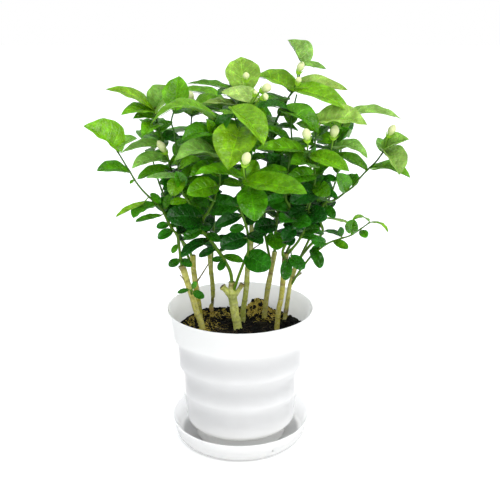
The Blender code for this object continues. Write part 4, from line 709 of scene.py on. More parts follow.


# The shoots: green stems that rise from the canes, with glossy leaves in pairs. A leaf is a firm
# ovate blade about 0.4 mm thick, folded a little along its midrib and quilted between its veins.
#
# Each shoot's stems as (radius at the foot, radius at the tip, points), and its leaves as (foot, tip,
# width, turn, arch, green, and where it isn't the usual one, its fold in degrees). Points are (across,
# up, back). Turn is how far the face is rolled away from the eye, in degrees, and arch is the rise of
# the midrib. A leaf's green letter holds painted light as well as its own colour: pale for painted
# sheen on leaves that catch the light, dark for painted shade on leaves low in the crown.
SHOOTS = {
    "shoot_left": ([
        (1.7, 1.0, [(-62.4, 193, 5), (-63.5, 204, 3), (-65.5, 225, -4), (-67, 232, -7), (-72, 238, -10),
                    (-77, 248.5, -14), (-80.5, 257, -17), (-89.5, 267, -20), (-101, 279, -22),
                    (-108.5, 289.5, -24), (-113, 298, -25), (-119.5, 309.5, -27), (-125.5, 320.5, -28)]),
    ], [
        ((-126, 322, -29), (-158.5, 345.5, -44), 40, 46, 3, "b", 38),
        ((-123, 326, -27), (-104, 333, -12), 14, 40, 3, "p"),
        ((-115, 298.5, -26), (-147.4, 299.5, -42), 23, 60, 3, "g"),
        ((-109, 291, -26), (-114, 286, -30), 4, 30, 0.5, "m"),
        ((-102, 265, -24), (-130.3, 250.6, -38), 9, 45, 2, "b"),
        ((-88, 263, -20), (-112, 249.5, -36), 25, 42, 3, "g"),
        ((-84, 252, -18), (-110, 245.5, -28), 9, 50, 1, "g"),
        ((-84, 266, -18), (-93, 276, -14), 9, 30, 1, "g"),
        ((-78, 261, -15), (-72, 275, -12), 9, 30, 1, "g"),
        ((-75, 243, -14), (-88, 239, -22), 9, 20, 1, "d"),
        ((-72, 236, -12), (-87, 227, -24), 11, 20, 1.5, "d"),
        ((-66, 203, 0), (-76.5, 196.5, -7), 9.5, 15, 1, "d"),
        ((-62, 203, 0), (-52, 196, -7), 9.5, 15, 1, "d"),
        ((-66.5, 221, -5), (-72.5, 211, -10), 6.5, 10, 0.5, "g"),
    ]),
    "shoot_left_tall": ([
        (1.8, 1.1, [(-50.5, 204, 35), (-55, 216, 33), (-62.7, 228, 30), (-66, 250, 26), (-68, 280, 20),
                    (-72, 306, 14), (-78, 330, 8), (-84, 352, 4), (-85, 364, 3)]),
    ], [
        ((-86, 362, 2), (-134, 382, -12), 23, 66, 6, "b", 14),
        ((-84, 364, 2), (-64.5, 384, -14), 34, 40, 2, "p", 36),
        ((-86, 360, 1), (-119.7, 356.6, -22), 24, 58, 4, "m"),
        ((-85, 353, -1), (-107.8, 353, -34), 20, 50, 2, "g"),
        ((-76, 325, 8), (-121.5, 318, -14), 22, 64, 4, "p"),
        ((-77, 333, 10), (-60, 333, 32), 18, 45, 3, "d"),
        ((-75, 309, 11), (-111, 302, -12), 25, 56, 6, "p"),
        ((-74, 300, 12), (-106, 291, -2), 18, 50, 3, "m"),
        ((-82, 340, 4), (-68, 350, 24), 14, 40, 2, "g"),
    ]),
    "shoot_back_left": ([
        (1.7, 1.0, [(-31.9, 208, 52), (-36, 235, 58), (-44, 270, 57), (-50, 305, 52), (-50, 335, 46),
                    (-47.5, 364, 40)]),
    ], [
        ((-45, 364, 38), (-17, 371, 22), 24, 50, 4, "m"),
        ((-52, 328, 46), (-70, 330, 30), 14, 40, 2, "d"),
        ((-50, 364, 41), (-76, 372, 52), 22, 55, 4, "g"),
    ]),
    "shoot_fork": ([
        (2.1, 1.2, [(-9, 174, 3), (-9.5, 184.5, 2), (-11.5, 192.5, 0), (-15.2, 200, -2), (-19.6, 207.7, -4),
                    (-25.7, 217, -8), (-31, 225, -12), (-36, 231, -15), (-40.5, 236, -18),
                    (-38.3, 249, -22), (-33, 256.5, -25), (-28, 266, -28), (-24, 279, -31),
                    (-20.5, 288.5, -34), (-22, 310, -37), (-25, 338, -40), (-26, 352, -40)]),
        (1.5, 1.0, [(-38.6, 247, -21), (-48, 253.5, -24), (-52, 264, -26), (-56.5, 271.5, -28),
                    (-59.5, 276.7, -30), (-63, 300, -28), (-66, 336, -24), (-69, 350, -22),
                    (-65, 363, -21)]),
    ], [
        ((-64, 366, -21), (-60, 395, 12), 29, 12, 2, "m"),
        ((-60, 293, -31), (-97, 292, -48), 17, 66, 1, "p"),
        ((-44, 250, -26), (-77, 250, -48), 27, 20, 4, "k"),
        ((-29, 338, -43), (-59, 331, -64), 24, 50, 5, "g"),
        ((-26, 314, -41), (-67, 310, -66), 30, 52, 10, "p"),
        ((-29, 354, -41), (-90.5, 346.5, -56), 28, 66, 15, "b"),
        ((-28, 340, -46), (-34, 353, -56), 12, 20, 1, "m"),
        ((-22, 340, -46), (-6, 358, -58), 16, 25, 2, "d"),
        ((-30, 333, -36), (-58, 343, -14), 24, 50, 5, "g"),
        ((-27, 283, -38), (-55, 275, -58), 24, 25, 3, "m"),
        ((-62, 290, -32), (-70.7, 273, -40), 19, 15, 2, "m"),
        ((-56, 268, -30), (-73, 264.5, -38), 11, 40, 1.5, "m"),
        ((-60, 284, -33), (-66, 299, -40), 14, 20, 1.5, "g"),
        ((-33, 232, -17), (-21, 224, -30), 9.5, 20, 1, "d"),
        ((-42, 237, -22), (-60, 227, -34), 12, 12, 1, "d"),
        ((-16, 208, -6), (3, 201.5, -20), 10, 35, 1, "g"),
        ((-17, 202, -6), (-23, 191.5, -13), 8.5, 10, 0.5, "d"),
        ((-19.5, 205, -8), (-30, 203, -16), 7, 12, 0.5, "d"),
        ((-28, 216, -12), (-44, 207, -20), 9, 20, 1, "k"),
        ((-34, 226, -16), (-63, 206.5, -36), 15, 45, 4, "k"),
    ]),
    "shoot_front": ([
        (1.7, 1.1, [(-7, 168, 3), (-5.3, 174, -2), (-1.5, 185.5, -8), (2.3, 196, -14), (6, 206.3, -18),
                    (8.4, 212, -20), (8.5, 224, -23), (7.7, 236, -26), (4.5, 247, -30), (0, 262, -36),
                    (3, 280, -46), (6, 294, -52), (3, 312, -51), (-1, 338, -48), (-5, 358, -44)]),
    ], [
        ((-1, 338, -51), (-12, 300.5, -90), 46, 8, 4, "b"),
        ((-4, 360, -46), (24.5, 325.5, -82), 38, 30, 4, "b"),
        ((9, 288, -56), (69.8, 275.8, -86), 31, 48, 2, "m"),
        ((11, 279, -52), (16, 246, -80), 31, 5, 3, "g"),
        ((7, 290, -47), (17, 311, -36), 20, 12, 1, "m"),
        ((0, 293, -54), (-46, 296, -74), 26, 60, 4, "m"),
        ((0, 284, -46), (-20, 287, -32), 12, 40, 2, "g"),
        ((-3, 262, -34), (-35, 263, -8), 24, 25, 3, "d"),
        ((-3, 344, -44), (13, 334, -26), 15, 30, 2, "g"),
        ((4, 240, -28), (-11, 236, -37), 10, 15, 1, "d"),
        ((5, 228, -24), (-21, 218, -42), 20, 15, 3, "k"),
        ((9, 207, -22), (32, 194, -42), 25, 8, 3, "d", 8),
        ((0, 252, -33), (-26, 240, -44), 14, 25, 2, "k"),
    ]),
    "shoot_centre": ([
        (1.9, 1.1, [(12, 238, 29), (12.5, 256, 27), (12, 270, 26), (9, 300, 20), (5, 330, 12),
                    (2, 350, 6), (1, 366, 2), (5, 382, 0)]),
    ], [
        ((17, 374.5, -8), (-18.5, 379.5, -16), 19, 25, 1, "a"),
        ((-3, 366, 3), (-36.5, 368.5, -20), 20, 66, 1, "p"),
        ((4.5, 382, 2), (1.5, 413.5, 24), 40, 5, 0, "y"),
        ((-2, 377, 1), (-52.5, 387.5, -16), 20, 75, 4, "g"),
        ((13, 278, 22), (36, 284, 4), 20, 30, 3, "d"),
    ]),
    "shoot_top": ([
        (1.9, 1.1, [(36.8, 208, 36), (37.5, 230, 34), (40, 265, 30), (39, 300, 24), (33, 338, 16),
                    (35, 344.5, 14), (40, 357.5, 11), (46, 368.5, 8), (50.5, 376, 6), (54, 381, 5),
                    (59, 393, 4), (62, 406, 3)]),
    ], [
        ((62, 408, 3), (47.4, 429.5, 14), 34, 52, 1, "p", 38),
        ((66, 406, 1), (86.5, 401.5, -10), 12, 55, 0, "p"),
        ((51, 382, 5), (12, 393, 26), 33, 58, 5, "b"),
        ((58, 384, 8), (108.6, 381.4, 24), 27, 58, 3, "p"),
        ((57, 381, 2), (111.5, 360.3, -22), 28, 62, 5, "b", 20),
        ((33, 341, 14), (60, 340, -2), 18, 70, 4, "g"),
        ((36, 231, 28), (39.5, 214.5, 10), 22, 10, 2, "g"),
        ((37, 242, 30), (15, 239, 12), 19, 15, 2, "k"),
        ((40, 300, 22), (30, 318, 4), 22, 20, 2, "d"),
    ]),
    "shoot_right_top": ([
        (1.7, 1.0, [(46.8, 205, 2), (45.5, 213, -5), (50, 223.5, -10), (58, 240, -11), (52, 262, -15),
                    (48, 272, -18), (50, 300, -22), (53, 330, -21), (52, 350, -19), (55, 366, -16),
                    (57.5, 377, -13)]),
    ], [
        ((51, 358, -20), (11.5, 364, -40), 25, 70, 5, "d"),
        ((46, 358, -21), (80, 338, -40), 33, 40, 6, "g", 30),
        ((56, 238, -13), (46, 225, -26), 16, 12, 1.5, "k"),
        ((50.5, 202, -9), (49, 180.5, -17), 13, 12, 1, "d", 8),
        ((46, 272, -20), (24, 265, -34), 12, 25, 1.5, "d"),
        ((56, 246, -14), (75, 243, -30), 17, 25, 2, "d"),
    ]),
    "shoot_right_mid": ([
        (1.7, 1.0, [(48.5, 207, 3), (54, 214, 1), (60.5, 222, -2), (65, 229.8, -4), (67.5, 235, -5),
                    (71, 255, -9), (78, 289, -13), (77, 305, -15), (77, 330, -16), (79, 343, -16)]),
        (1.2, 0.8, [(77, 303, -15), (72, 311, -18), (68.5, 321, -21)]),
    ], [
        ((83, 349, -18), (129.5, 346.6, -36), 36, 46, 5, "p", 34),
        ((66, 320, -20), (17, 322, -46), 21, 68, 3, "m"),
        ((76, 315, -20), (113, 299, -48), 26, 42, 1.5, "b"),
        ((80, 319, -14), (99, 317, 4), 12, 60, 1.5, "g"),
        ((75, 326, -14), (57, 328, 4), 12, 50, 1.5, "g"),
        ((80, 336, -14), (91, 346, 6), 12, 35, 1, "g"),
        ((76, 296, -15), (48, 289, -34), 21, 25, 3, "g"),
        ((78, 284, -14), (94, 274, -30), 18, 15, 2, "g"),
        ((72, 256, -11), (91, 248, -28), 20, 20, 2, "k"),
        ((80, 279, -14), (53, 266, -34), 23, 25, 2, "k"),
        ((68, 247, -9), (57, 236, -24), 14, 8, 1, "k"),
        ((68.5, 236, -7), (84, 238, -18), 11, 15, 1, "d"),
        ((66, 231, -6), (81, 228, -16), 8, 20, 0.5, "d"),
        ((55, 206, -12), (69, 193.5, -22), 14, 10, 1, "d", 8),
    ]),
    "shoot_right": ([
        (1.7, 1.1, [(58.8, 190, 34), (62, 202, 33), (74, 219, 29), (87, 232.8, 26), (85.5, 243.3, 24),
                    (84, 248.5, 23), (88, 264.5, 20), (95.5, 267.5, 18), (102.5, 271.3, 16),
                    (110, 277.5, 14), (117, 282.5, 12), (123, 290.5, 10), (130, 298.7, 8),
                    (140, 309, 6), (145, 316, 5), (148, 320.5, 4)]),
    ], [
        ((148, 322, 3), (173, 332, -12), 26, 48, 1, "p", 38),
        ((148, 319, 2), (164.7, 295.3, -24), 34, 44, 3, "p", 38),
        ((147, 320, 7), (141, 334, 18), 12, 20, 1, "p"),
        ((135.5, 301.5, 6), (176.3, 292.3, -14), 23, 62, 6, "m"),
        ((129, 302, 9), (99, 318, 24), 18, 55, 2, "g"),
        ((111, 280, 13), (101, 297, -2), 18, 20, 2, "g"),
        ((91, 262, 19), (99, 249, 4), 11, 15, 1, "d"),
        ((89, 250, 22), (117, 243, 4), 12, 78, 1, "a"),
        ((119, 284, 12), (112, 296, 28), 18, 25, 1, "g"),
    ]),
    "shoot_right_inner": ([
        (1.6, 1.0, [(48.5, 206, 4), (50, 213, 9), (55, 224, 11), (62, 245, 12), (72, 268, 13), (82, 290, 13),
                    (88, 303, 12), (94, 321, 10), (98, 334, 8), (105, 348, 7), (109, 355, 6)]),
    ], [
        ((111, 357, 5), (163.6, 352.6, -10), 20, 61, 5, "p"),
        ((97, 323, 8), (131.3, 312.7, -10), 22, 62, 7, "p"),
        ((93, 320, 10), (71, 322, -6), 16, 60, 3, "d"),
        ((99, 333, 8), (112, 343, -4), 15, 25, 1.5, "g"),
        ((84, 291, 12), (101, 290, -2), 11, 40, 1.5, "d"),
        ((80, 280, 12), (102, 271, -6), 12, 45, 1.5, "d"),
    ]),
    "shoot_low_right": ([
        (1.4, 0.8, [(55.5, 176, 33.5), (60, 184, 27), (66, 194, 24), (71, 201, 22), (77, 208.5, 20),
                    (92, 221, 14), (105, 226.5, 10), (117, 230.5, 7), (128, 238, 5), (137, 245, 4)]),
    ], [
        ((135, 247, 2), (119, 247.5, -12), 9, 72, 4, "b"),
        ((117, 234, 5), (120, 248, -8), 15, 10, 1, "g"),
        ((128, 236, 3), (134, 228, -8), 10, 20, 1, "g"),
        ((139, 245.5, 2), (156.5, 234, -12), 8.5, 68, 3.5, "b"),
        ((107, 229, 9), (106, 240, 0), 8, 20, 0.5, "d"),
        ((99, 225, 11), (115, 216, -2), 10, 30, 1, "g"),
        ((91, 223, 14), (75.5, 224.5, 2), 13, 12, 1, "d"),
        ((77, 213, 18), (86, 194, 4), 15, 25, 3, "d", 22),
        ((76, 210, 20), (84, 219, 8), 9, 15, 1, "d"),
    ]),
    "sprig_left": ([
        (1.2, 0.9, [(-52.5, 164, 7), (-53, 166, 0), (-53.2, 169, -4)]),
    ], [
        ((-56, 170, -5), (-68, 166, -10), 6, 30, 0.5, "d"),
        ((-52, 171, -5), (-47.5, 179, -9), 6, 15, 0.5, "g"),
        ((-50, 167, -4), (-39.5, 160, -12), 9, 12, 1, "d"),
    ]),
    "shoot_rear_left": ([
        (1.7, 1.0, [(-48.8, 186, 35), (-53, 200, 46), (-62, 225, 58), (-72, 255, 72), (-84, 288, 80),
                    (-90, 318, 84), (-88, 340, 84)]),
    ], []),
    "shoot_rear": ([
        (1.7, 1.0, [(-30.5, 190, 52), (-30, 205, 62), (-28, 235, 76), (-26, 270, 90), (-22, 310, 98),
                    (-16, 345, 98), (-14, 366, 96)]),
    ], []),
    "shoot_rear_centre": ([
        (1.7, 1.0, [(34.3, 196, 36), (30, 214, 48), (24, 250, 64), (26, 285, 80), (30, 320, 88),
                    (32, 352, 90)]),
    ], []),
    "shoot_rear_right": ([
        (1.7, 1.0, [(57.5, 188, 34), (64, 205, 46), (76, 232, 58), (90, 262, 68), (100, 292, 74),
                    (104, 325, 76), (102, 345, 76)]),
    ], []),
}

# Flower buds: the shoot each sits on, where its stalk starts, its seat and its tip, and its diameter
BUDS = [
    ("shoot_left_tall", (-73, 304, 14), (-74.3, 316.2, 0), (-83.7, 330.8, -3), 8.8),
    ("shoot_front", (6, 290, -51), (3.9, 302.7, -84), (8.8, 318.9, -88), 9.4),
    ("shoot_centre", (5, 379, 0), (7.3, 387.8, -9), (6.5, 398.9, -10), 7.2),
    ("shoot_back_left", (-47.5, 358, 41), (-47.4, 367.5, 20), (-49.8, 380.6, 17), 7.8),
    ("shoot_top", (58.5, 390, 4), (57.8, 396, -1), (62.8, 409, -3), 8.2),
    ("shoot_top", (54, 379, 5), (56.9, 385, -9), (60.1, 394.2, -11), 6.8),
    ("shoot_right_inner", (93, 317, 10), (95.1, 330.7, -22), (97.3, 346.6, -25), 10.0),
    ("shoot_right_mid", (68.6, 319, -21), (69.8, 327.7, -46), (67.2, 343.2, -48), 9.4),
    ("shoot_right", (147.5, 319.5, 4), (150.4, 333, 0), (157.3, 347, -2), 8.4),
    ("shoot_centre", (2, 353, 5), (19.8, 379, -26), (31.8, 386, -30), 9.4),
    ("shoot_centre", (2, 352, 5), (20.5, 372.5, -36), (28.8, 376, -39), 7.4),
    ("shoot_centre", (2, 354, 5), (14, 374, -33), (17, 381, -35), 5.0),
]

CALYX_DEPTH = 2.6  # from a bud's seat to where its petals start

# What the crown reaches as seen from the front: (up, furthest left, furthest right)
CROWN = [(195, -52, 70), (215, -60, 84), (240, -80, 94), (265, -86, 94), (290, -84, 110),
         (310, -94, 116), (340, -104, 114), (365, -104, 108), (385, -80, 92), (402, -20, 76)]
CROWN_BACK = 132.0
# The crown's openings as seen from the front, which the far leaves leave free: (across, up, half
# the width, half the height)
WINDOWS = [(73.7, 369, 18, 13), (-93, 285, 12, 9), (66, 216, 11, 9), (38, 378, 10, 7), (-60, 348, 10, 9),
           (120, 301, 8, 7), (-13, 253, 11, 7), (0, 243, 6, 12), (97, 241, 10, 5), (99.7, 281, 9, 7),
           (-93, 303.7, 14, 6), (58.7, 335.6, 7, 4.5), (-74, 341.6, 6, 6), (43.3, 348, 6, 5.5),
           (-83.7, 251.5, 6, 6), (93.4, 297, 7, 4), (26.6, 216, 7, 5), (34.3, 356, 5, 4), (-40.5, 350, 5, 4),
           (-67.5, 317, 5, 5), (-8.2, 349, 5.5, 5), (-6, 279, 10, 8), (41, 333, 6, 3), (111.7, 316.6, 7, 3)]
# Where a far leaf is looked at for that: (part of its length, share of its reach sideways)
WINDOW_PLACES = ((0.1, 0), (0.4, 1), (0.4, -1), (0.45, 0), (0.75, 0), (0.75, 0.6), (0.75, -0.6), (1, 0))
WINDOW_REACH = 0.36

# The leaves of the far side, which grow longer further up
FILL_SPACING = 30.0
FILL_FROM = 208.0
FILL_CLIMB = 170.0
FILL_LENGTHS = (34.0, 56.0)
FILL_CHANCE = (0.85, 1.1)
FILL_TWIST = 14
FILL_RISE = (-0.1, 0.4)
FILL_LEAN = 0.25
FILL_BEARINGS = (0, 16, -16, 32, -32)
FILL_WIDTH = 0.6
FILL_ARCH = 0.1
FILL_FRONT = {False: 10, True: 18}  # the least distance back of a tip, on a front and a rear shoot

# The small leaves between the others, and where one is looked at for standing before another
TUFT_SPACING = 9.0
TUFT_FROM = 225.0
TUFT_TO = 385.0
TUFT_CLIMB = 120.0
TUFT_LENGTHS = (22.0, 42.0)
TUFT_CHANCE = (0.8, 1.15)
TUFT_TRIES = 14
TUFT_SIZES = (1.0, 1.0, 0.8, 0.65)  # one try after another
TUFT_TURN = 2.4
TUFT_RISE = (-0.25, 0.5)
TUFT_LEAN = 0.4
TUFT_FACING = (0.2, 1.3)
TUFT_WIDTHS = (0.56, 0.7)
TUFT_ARCH = 0.1
HIDING_PLACES = ((0.15, 0), (0.5, 0), (1, 0), (0.4, 1), (0.4, -1))
HIDING_REACH = 0.38

# The plain blades that find each leaf its room
BLADE = 0.7
SPARE = 0.35  # room kept on each face of a blade
FOLD = math.radians(20)
STATIONS = ((48.0, (0.15, 0.45, 0.78)), (17.0, (0.27, 0.7)), (0.0, (0.42,)))  # by least length
FOOT_POWER = 0.55  # how full a blade is at its foot and at its tip
TIP_POWER = 0.8
GREATEST = 0.4015
PETIOLE = 4.0
STALK_WIDTH = 1.6
SUNK = 0.6  # how far a stalk goes past the middle of its stem
DEPTH_SHIFTS = (0, 5, -5, 10, -10, 15, -15, 21, -21)  # tried where a blade has no room
ROLL_SHIFTS = (0, 9, -9, 18, -18)
SIZES = (1.0, 0.88)

# The greens of the leaves' upper sides, each by the letter that the tables give it. They run from young
# leaves' yellow-green to old leaves' dark green, and hold painted light too: a and p are pale with
# painted sheen, and d and k dark with painted shade low in the crown.
GREENS_AND_LIGHT = {"a": "#96BA64", "y": "#84AC4C", "p": "#7CA854", "b": "#68A010", "m": "#569204", "g": "#428004",
          "d": "#226406", "k": "#0E460A"}
# The greens that the far leaves and the small ones draw from, by the least height: darker lower down,
# for older leaves' darker green and as painted shade of the lower crown.
FILL_TONES_AND_SHADE = ((350, "mg"), (280, "gd"), (0, "dk"))
TUFT_TONES_AND_SHADE = ((340, "mmg"), (300, "mgg"), (265, "gd"), (0, "dk"))


def seen(point):
    """Where a point in millimetres is seen, as (across, up)."""
    reach = (point.y - EYE.y) / -EYE.y
    return EYE.x + (point.x - EYE.x) / reach, EYE.z + (point.z - EYE.z) / reach


def rod(path, radii, resolution):
    """A closed mesh round a path in millimetres, with a radius at each point."""
    curve = bpy.data.curves.new("rod", "CURVE")
    curve.dimensions = "3D"
    curve.bevel_depth = MM
    curve.bevel_resolution = resolution
    curve.use_fill_caps = True
    line = curve.splines.new("POLY")
    line.points.add(len(path) - 1)
    for point, place, radius in zip(line.points, path, radii):
        point.co = (*(place * MM), 1)
        point.radius = radius
    mesh = mesh_of(new_object("rod", curve))
    work = bmesh.new()
    work.from_mesh(mesh)
    bpy.data.meshes.remove(mesh)
    bmesh.ops.remove_doubles(work, verts=work.verts, dist=0.00001)
    bmesh.ops.recalc_face_normals(work, faces=work.faces)
    return work


def taper(start, end, radius_start, radius_end, sides=4):
    """A closed tapering rod between two points in millimetres."""
    along = end - start
    turn = along.to_track_quat("Z", "Y").to_matrix().to_4x4()
    place = Matrix.Translation((start + end) / 2 * MM) @ turn
    work = bmesh.new()
    bmesh.ops.create_cone(work, cap_ends=True, segments=sides, radius1=radius_start * MM,
                          radius2=radius_end * MM, depth=along.length * MM, matrix=place)
    return work


def blade_normal(foot, tip, turn):
    """The upward normal of a blade whose face is rolled by turn degrees away from the eye."""
    along = (tip - foot).normalized()
    sight = EYE - (foot + tip) / 2
    facing = (sight - along * sight.dot(along)).normalized()
    side = along.cross(facing)
    if side.z < 0:
        side.negate()
    angle = math.radians(turn)
    return facing * math.cos(angle) + side * math.sin(angle)


def blade_outline(part):
    """Half the width of a leaf at this part of its length, as a share of the greatest."""
    return part ** FOOT_POWER * (1 - part) ** TIP_POWER / GREATEST


def blade(root, foot, tip, width, normal, arch, thickness):
    """A plain blade and its stalk in metres, for the room that a leaf takes."""
    along = tip - foot
    length = along.length
    across = along.normalized().cross(normal)
    work = bmesh.new()
    rows = []
    if root is not None:
        bend = (foot - root).normalized() + along.normalized()
        stalk = bend.normalized().cross(normal).normalized() * (STALK_WIDTH / 2)
        rows.append([work.verts.new(root * MM)])
        rows.append([work.verts.new(place * MM) for place in (foot - stalk, foot, foot + stalk)])
    else:
        rows.append([work.verts.new(foot * MM)])
    for part in next(parts for least, parts in STATIONS if length > least):
        middle = foot + along * part + normal * (arch * 4 * part * (1 - part))
        slope = arch * 4 * (1 - 2 * part) / length
        rise = (normal - along.normalized() * slope).normalized()
        half = width / 2 * blade_outline(part)
        lift = rise * (half * math.sin(FOLD))
        reach = across * (half * math.cos(FOLD))
        places = (middle - reach + lift, middle, middle + reach + lift)
        rows.append([work.verts.new(place * MM) for place in places])
    rows.append([work.verts.new(tip * MM)])
    left, middle, right = rows[1]
    work.faces.new((rows[0][0], middle, left))
    work.faces.new((rows[0][0], right, middle))
    for near, far in zip(rows[1:-2], rows[2:-1]):
        work.faces.new((near[0], near[1], far[1]))
        work.faces.new((near[0], far[1], far[0]))
        work.faces.new((near[1], near[2], far[1]))
        work.faces.new((near[2], far[2], far[1]))
    left, middle, right = rows[-2]
    work.faces.new((left, middle, rows[-1][0]))
    work.faces.new((middle, right, rows[-1][0]))
    bmesh.ops.recalc_face_normals(work, faces=work.faces)
    bmesh.ops.solidify(work, geom=work.faces[:], thickness=thickness * MM)
    bmesh.ops.recalc_face_normals(work, faces=work.faces)
    return work


class Placed:
    """A closed piece that is already in its place, for the room that others leave to it."""

    def __init__(self, node, kind, work):
        self.node = node
        self.kind = kind
        self.tree = BVHTree.FromBMesh(work)
        self.low = Vector([min(vertex.co[i] for vertex in work.verts) for i in range(3)])
        self.high = Vector([max(vertex.co[i] for vertex in work.verts) for i in range(3)])
        work.free()

    def meets(self, other):
        """Whether the two surfaces cross."""
        if any(self.low[i] > other.high[i] or self.high[i] < other.low[i] for i in range(3)):
            return False
        return bool(self.tree.overlap(other.tree))


def nearest(point, lines):
    """The point on any of these stems that is nearest to a point."""
    best = None
    for path, _ in lines:
        for start, end in zip(path, path[1:]):
            along = end - start
            part = max(0.0, min(1.0, (point - start).dot(along) / along.length_squared))
            here = start + along * part
            if best is None or (here - point).length < (best - point).length:
                best = here
    return best


def blocked(room, node, settled, same_node):
    """Whether a piece meets another node's, or where asked, a blade of its own node."""
    for other in settled:
        if other.node == node and not (same_node and other.kind == "blade"):
            continue
        if room.meets(other):
            return True
    return False


def try_leaf(node, foot, tip, width, normal, arch, lines, settled, same_node=True):
    """Where a leaf goes, or None where it would meet another piece."""
    root = nearest(foot, lines)
    away = (foot - root).length
    if away < PETIOLE:
        foot = foot + (tip - foot).normalized() * (PETIOLE - away)
    root = root - (foot - root).normalized() * SUNK
    shape = (foot, tip, width + 2 * SPARE, normal, arch, BLADE + 2 * SPARE)
    for base, near in ((None, same_node), (root, False)):
        work = blade(base, *shape)
        bmesh.ops.translate(work, verts=work.verts, vec=normal * (SPARE * MM))
        if blocked(Placed(node, "blade", work), node, settled, near):
            return None
    return root, foot, tip, width, normal, arch


def settle(node, row, lines, settled):
    """A leaf of the tables, moved a little in depth and roll where it would meet another piece."""
    foot_spot, tip_spot, width, turn, arch = row
    foot = spot(*foot_spot)
    for same_node in (True, False):
        for size in SIZES:
            for shift in DEPTH_SHIFTS:
                for roll in ROLL_SHIFTS:
                    tip = spot(tip_spot[0], tip_spot[1], tip_spot[2] + shift)
                    tip = foot + (tip - foot) * size
                    normal = blade_normal(foot, tip, turn + roll)
                    leaf = try_leaf(node, foot, tip, width * size, normal, arch, lines, settled, same_node)
                    if leaf:
                        return leaf
    return None


def in_crown(point):
    """Whether a point is within the crown as the front shows it, and not too far back."""
    across, up = seen(point)
    for low, high in zip(CROWN, CROWN[1:]):
        if low[0] <= up <= high[0]:
            part = (up - low[0]) / (high[0] - low[0])
            left, right = (low[i] + (high[i] - low[i]) * part for i in (1, 2))
            return left < across < right and point.y < CROWN_BACK
    return False


def stem_stops(lines, first, spacing):
    """Points every so far along the stems, from the first one on."""
    for path, _ in lines:
        walked, due = 0.0, first
        for start, end in zip(path, path[1:]):
            length = (end - start).length
            while due <= walked + length:
                yield start + (end - start) * ((due - walked) / length)
                due += spacing
            walked += length


def shuts_window(foot, tip, normal, width):
    """Whether a leaf would stand in one of the crown's openings, as seen from the front."""
    along = tip - foot
    side = along.normalized().cross(normal) * (width * WINDOW_REACH)
    for part, reach in WINDOW_PLACES:
        across, up = seen(foot + along * part + side * reach)
        for centre, height, half_width, half_height in WINDOWS:
            if ((across - centre) / half_width) ** 2 + ((up - height) / half_height) ** 2 < 1:
                return True
    return False


def fill_leaves(node, lines, settled, draw):
    """Pairs of leaves on the far side of the crown, each pair turned a quarter from the last."""
    grown = []
    front = FILL_FRONT["rear" in node]
    turn = draw.uniform(0, 180)
    for stop in stem_stops(lines, FILL_SPACING / 2, FILL_SPACING):
        if stop.z <= FILL_FROM:
            continue
        turn += 90 + draw.uniform(-FILL_TWIST, FILL_TWIST)
        share = min(1.0, max(0.0, (stop.z - FILL_FROM) / FILL_CLIMB))
        usual = FILL_LENGTHS[0] + (FILL_LENGTHS[1] - FILL_LENGTHS[0]) * share
        for side in (0, 180):
            heading = math.radians(turn + side)
            length = usual * draw.uniform(*FILL_CHANCE)
            rise = draw.uniform(*FILL_RISE)
            lean = draw.uniform(-FILL_LEAN, FILL_LEAN)
            for shift in FILL_BEARINGS:
                bearing = heading + math.radians(shift)
                along = Vector((math.cos(bearing), math.sin(bearing), rise)).normalized()
                foot = stop + along * PETIOLE
                tip = foot + along * length
                if tip.y < front or not in_crown(tip) or not in_crown(foot):
                    continue
                level = along.cross(Vector((0, 0, 1))).normalized()
                normal = (level.cross(along) + level * lean).normalized()
                normal = (normal - along * normal.dot(along)).normalized()
                wide, arch = length * FILL_WIDTH, length * FILL_ARCH
                if shuts_window(foot, tip, normal, wide):
                    continue
                leaf = try_leaf(node, foot, tip, wide, normal, arch, lines, settled)
                if leaf:
                    grown.append(leaf)
                    settled.append(Placed(node, "blade", blade(*leaf, BLADE)))
                    break
    return grown


def bud_parts(row):
    """The stalk, calyx and bud of a row of BUDS, as points in millimetres."""
    foot, seat, tip = (spot(*place) for place in row[1:4])
    diameter = row[4]
    along = (tip - seat).normalized()
    return foot, seat, seat + along * CALYX_DEPTH, tip, along, diameter / 2


settled = []
for name, stems in cane_lines.items():
    for path, radii in stems:
        settled.append(Placed(name, "stem", rod(path, radii, 1)))
lines = {}
for name, (stems, _) in SHOOTS.items():
    lines[name] = []
    for foot_radius, tip_radius, points in stems:
        path = [spot(*point) for point in points]
        last = len(path) - 1
        radii = [foot_radius + (tip_radius - foot_radius) * i / last for i in range(last + 1)]
        lines[name].append((path, radii))
        settled.append(Placed(name, "stem", rod(path, radii, 0)))
for number, row in enumerate(BUDS, 1):
    foot, seat, lip, tip, along, radius = bud_parts(row)
    joint = nearest(foot, lines[row[0]])
    settled.append(Placed(row[0], "stalk", taper(joint, seat + along * 0.6, 0.8, 0.8)))
    settled.append(Placed(row[0], "stalk", taper(seat, lip, 0.9, 0.5 * radius + 0.5, 6)))
    settled.append(Placed(f"bud_{number:02d}", "bud", taper(lip, tip, radius, radius, 6)))
leaves_of = {name: [] for name in SHOOTS}
greens_with_light = {name: [] for name in SHOOTS}
folds = {}
for name, (_, leaves) in SHOOTS.items():
    for row in leaves:
        leaf = settle(name, row[:5], lines[name], settled)
        settled.append(Placed(name, "blade", blade(*leaf, BLADE)))
        leaves_of[name].append(leaf)
        greens_with_light[name].append(row[5])
        if len(row) > 6:
            folds[name, len(leaves_of[name]) - 1] = row[6]
table_leaves = bmesh.new()
for leaf in itertools.chain(*leaves_of.values()):
    work = blade(*leaf, BLADE)
    mesh = bpy.data.meshes.new("blade")
    work.to_mesh(mesh)
    work.free()
    table_leaves.from_mesh(mesh)
    bpy.data.meshes.remove(mesh)
in_front = BVHTree.FromBMesh(table_leaves)
table_leaves.free()
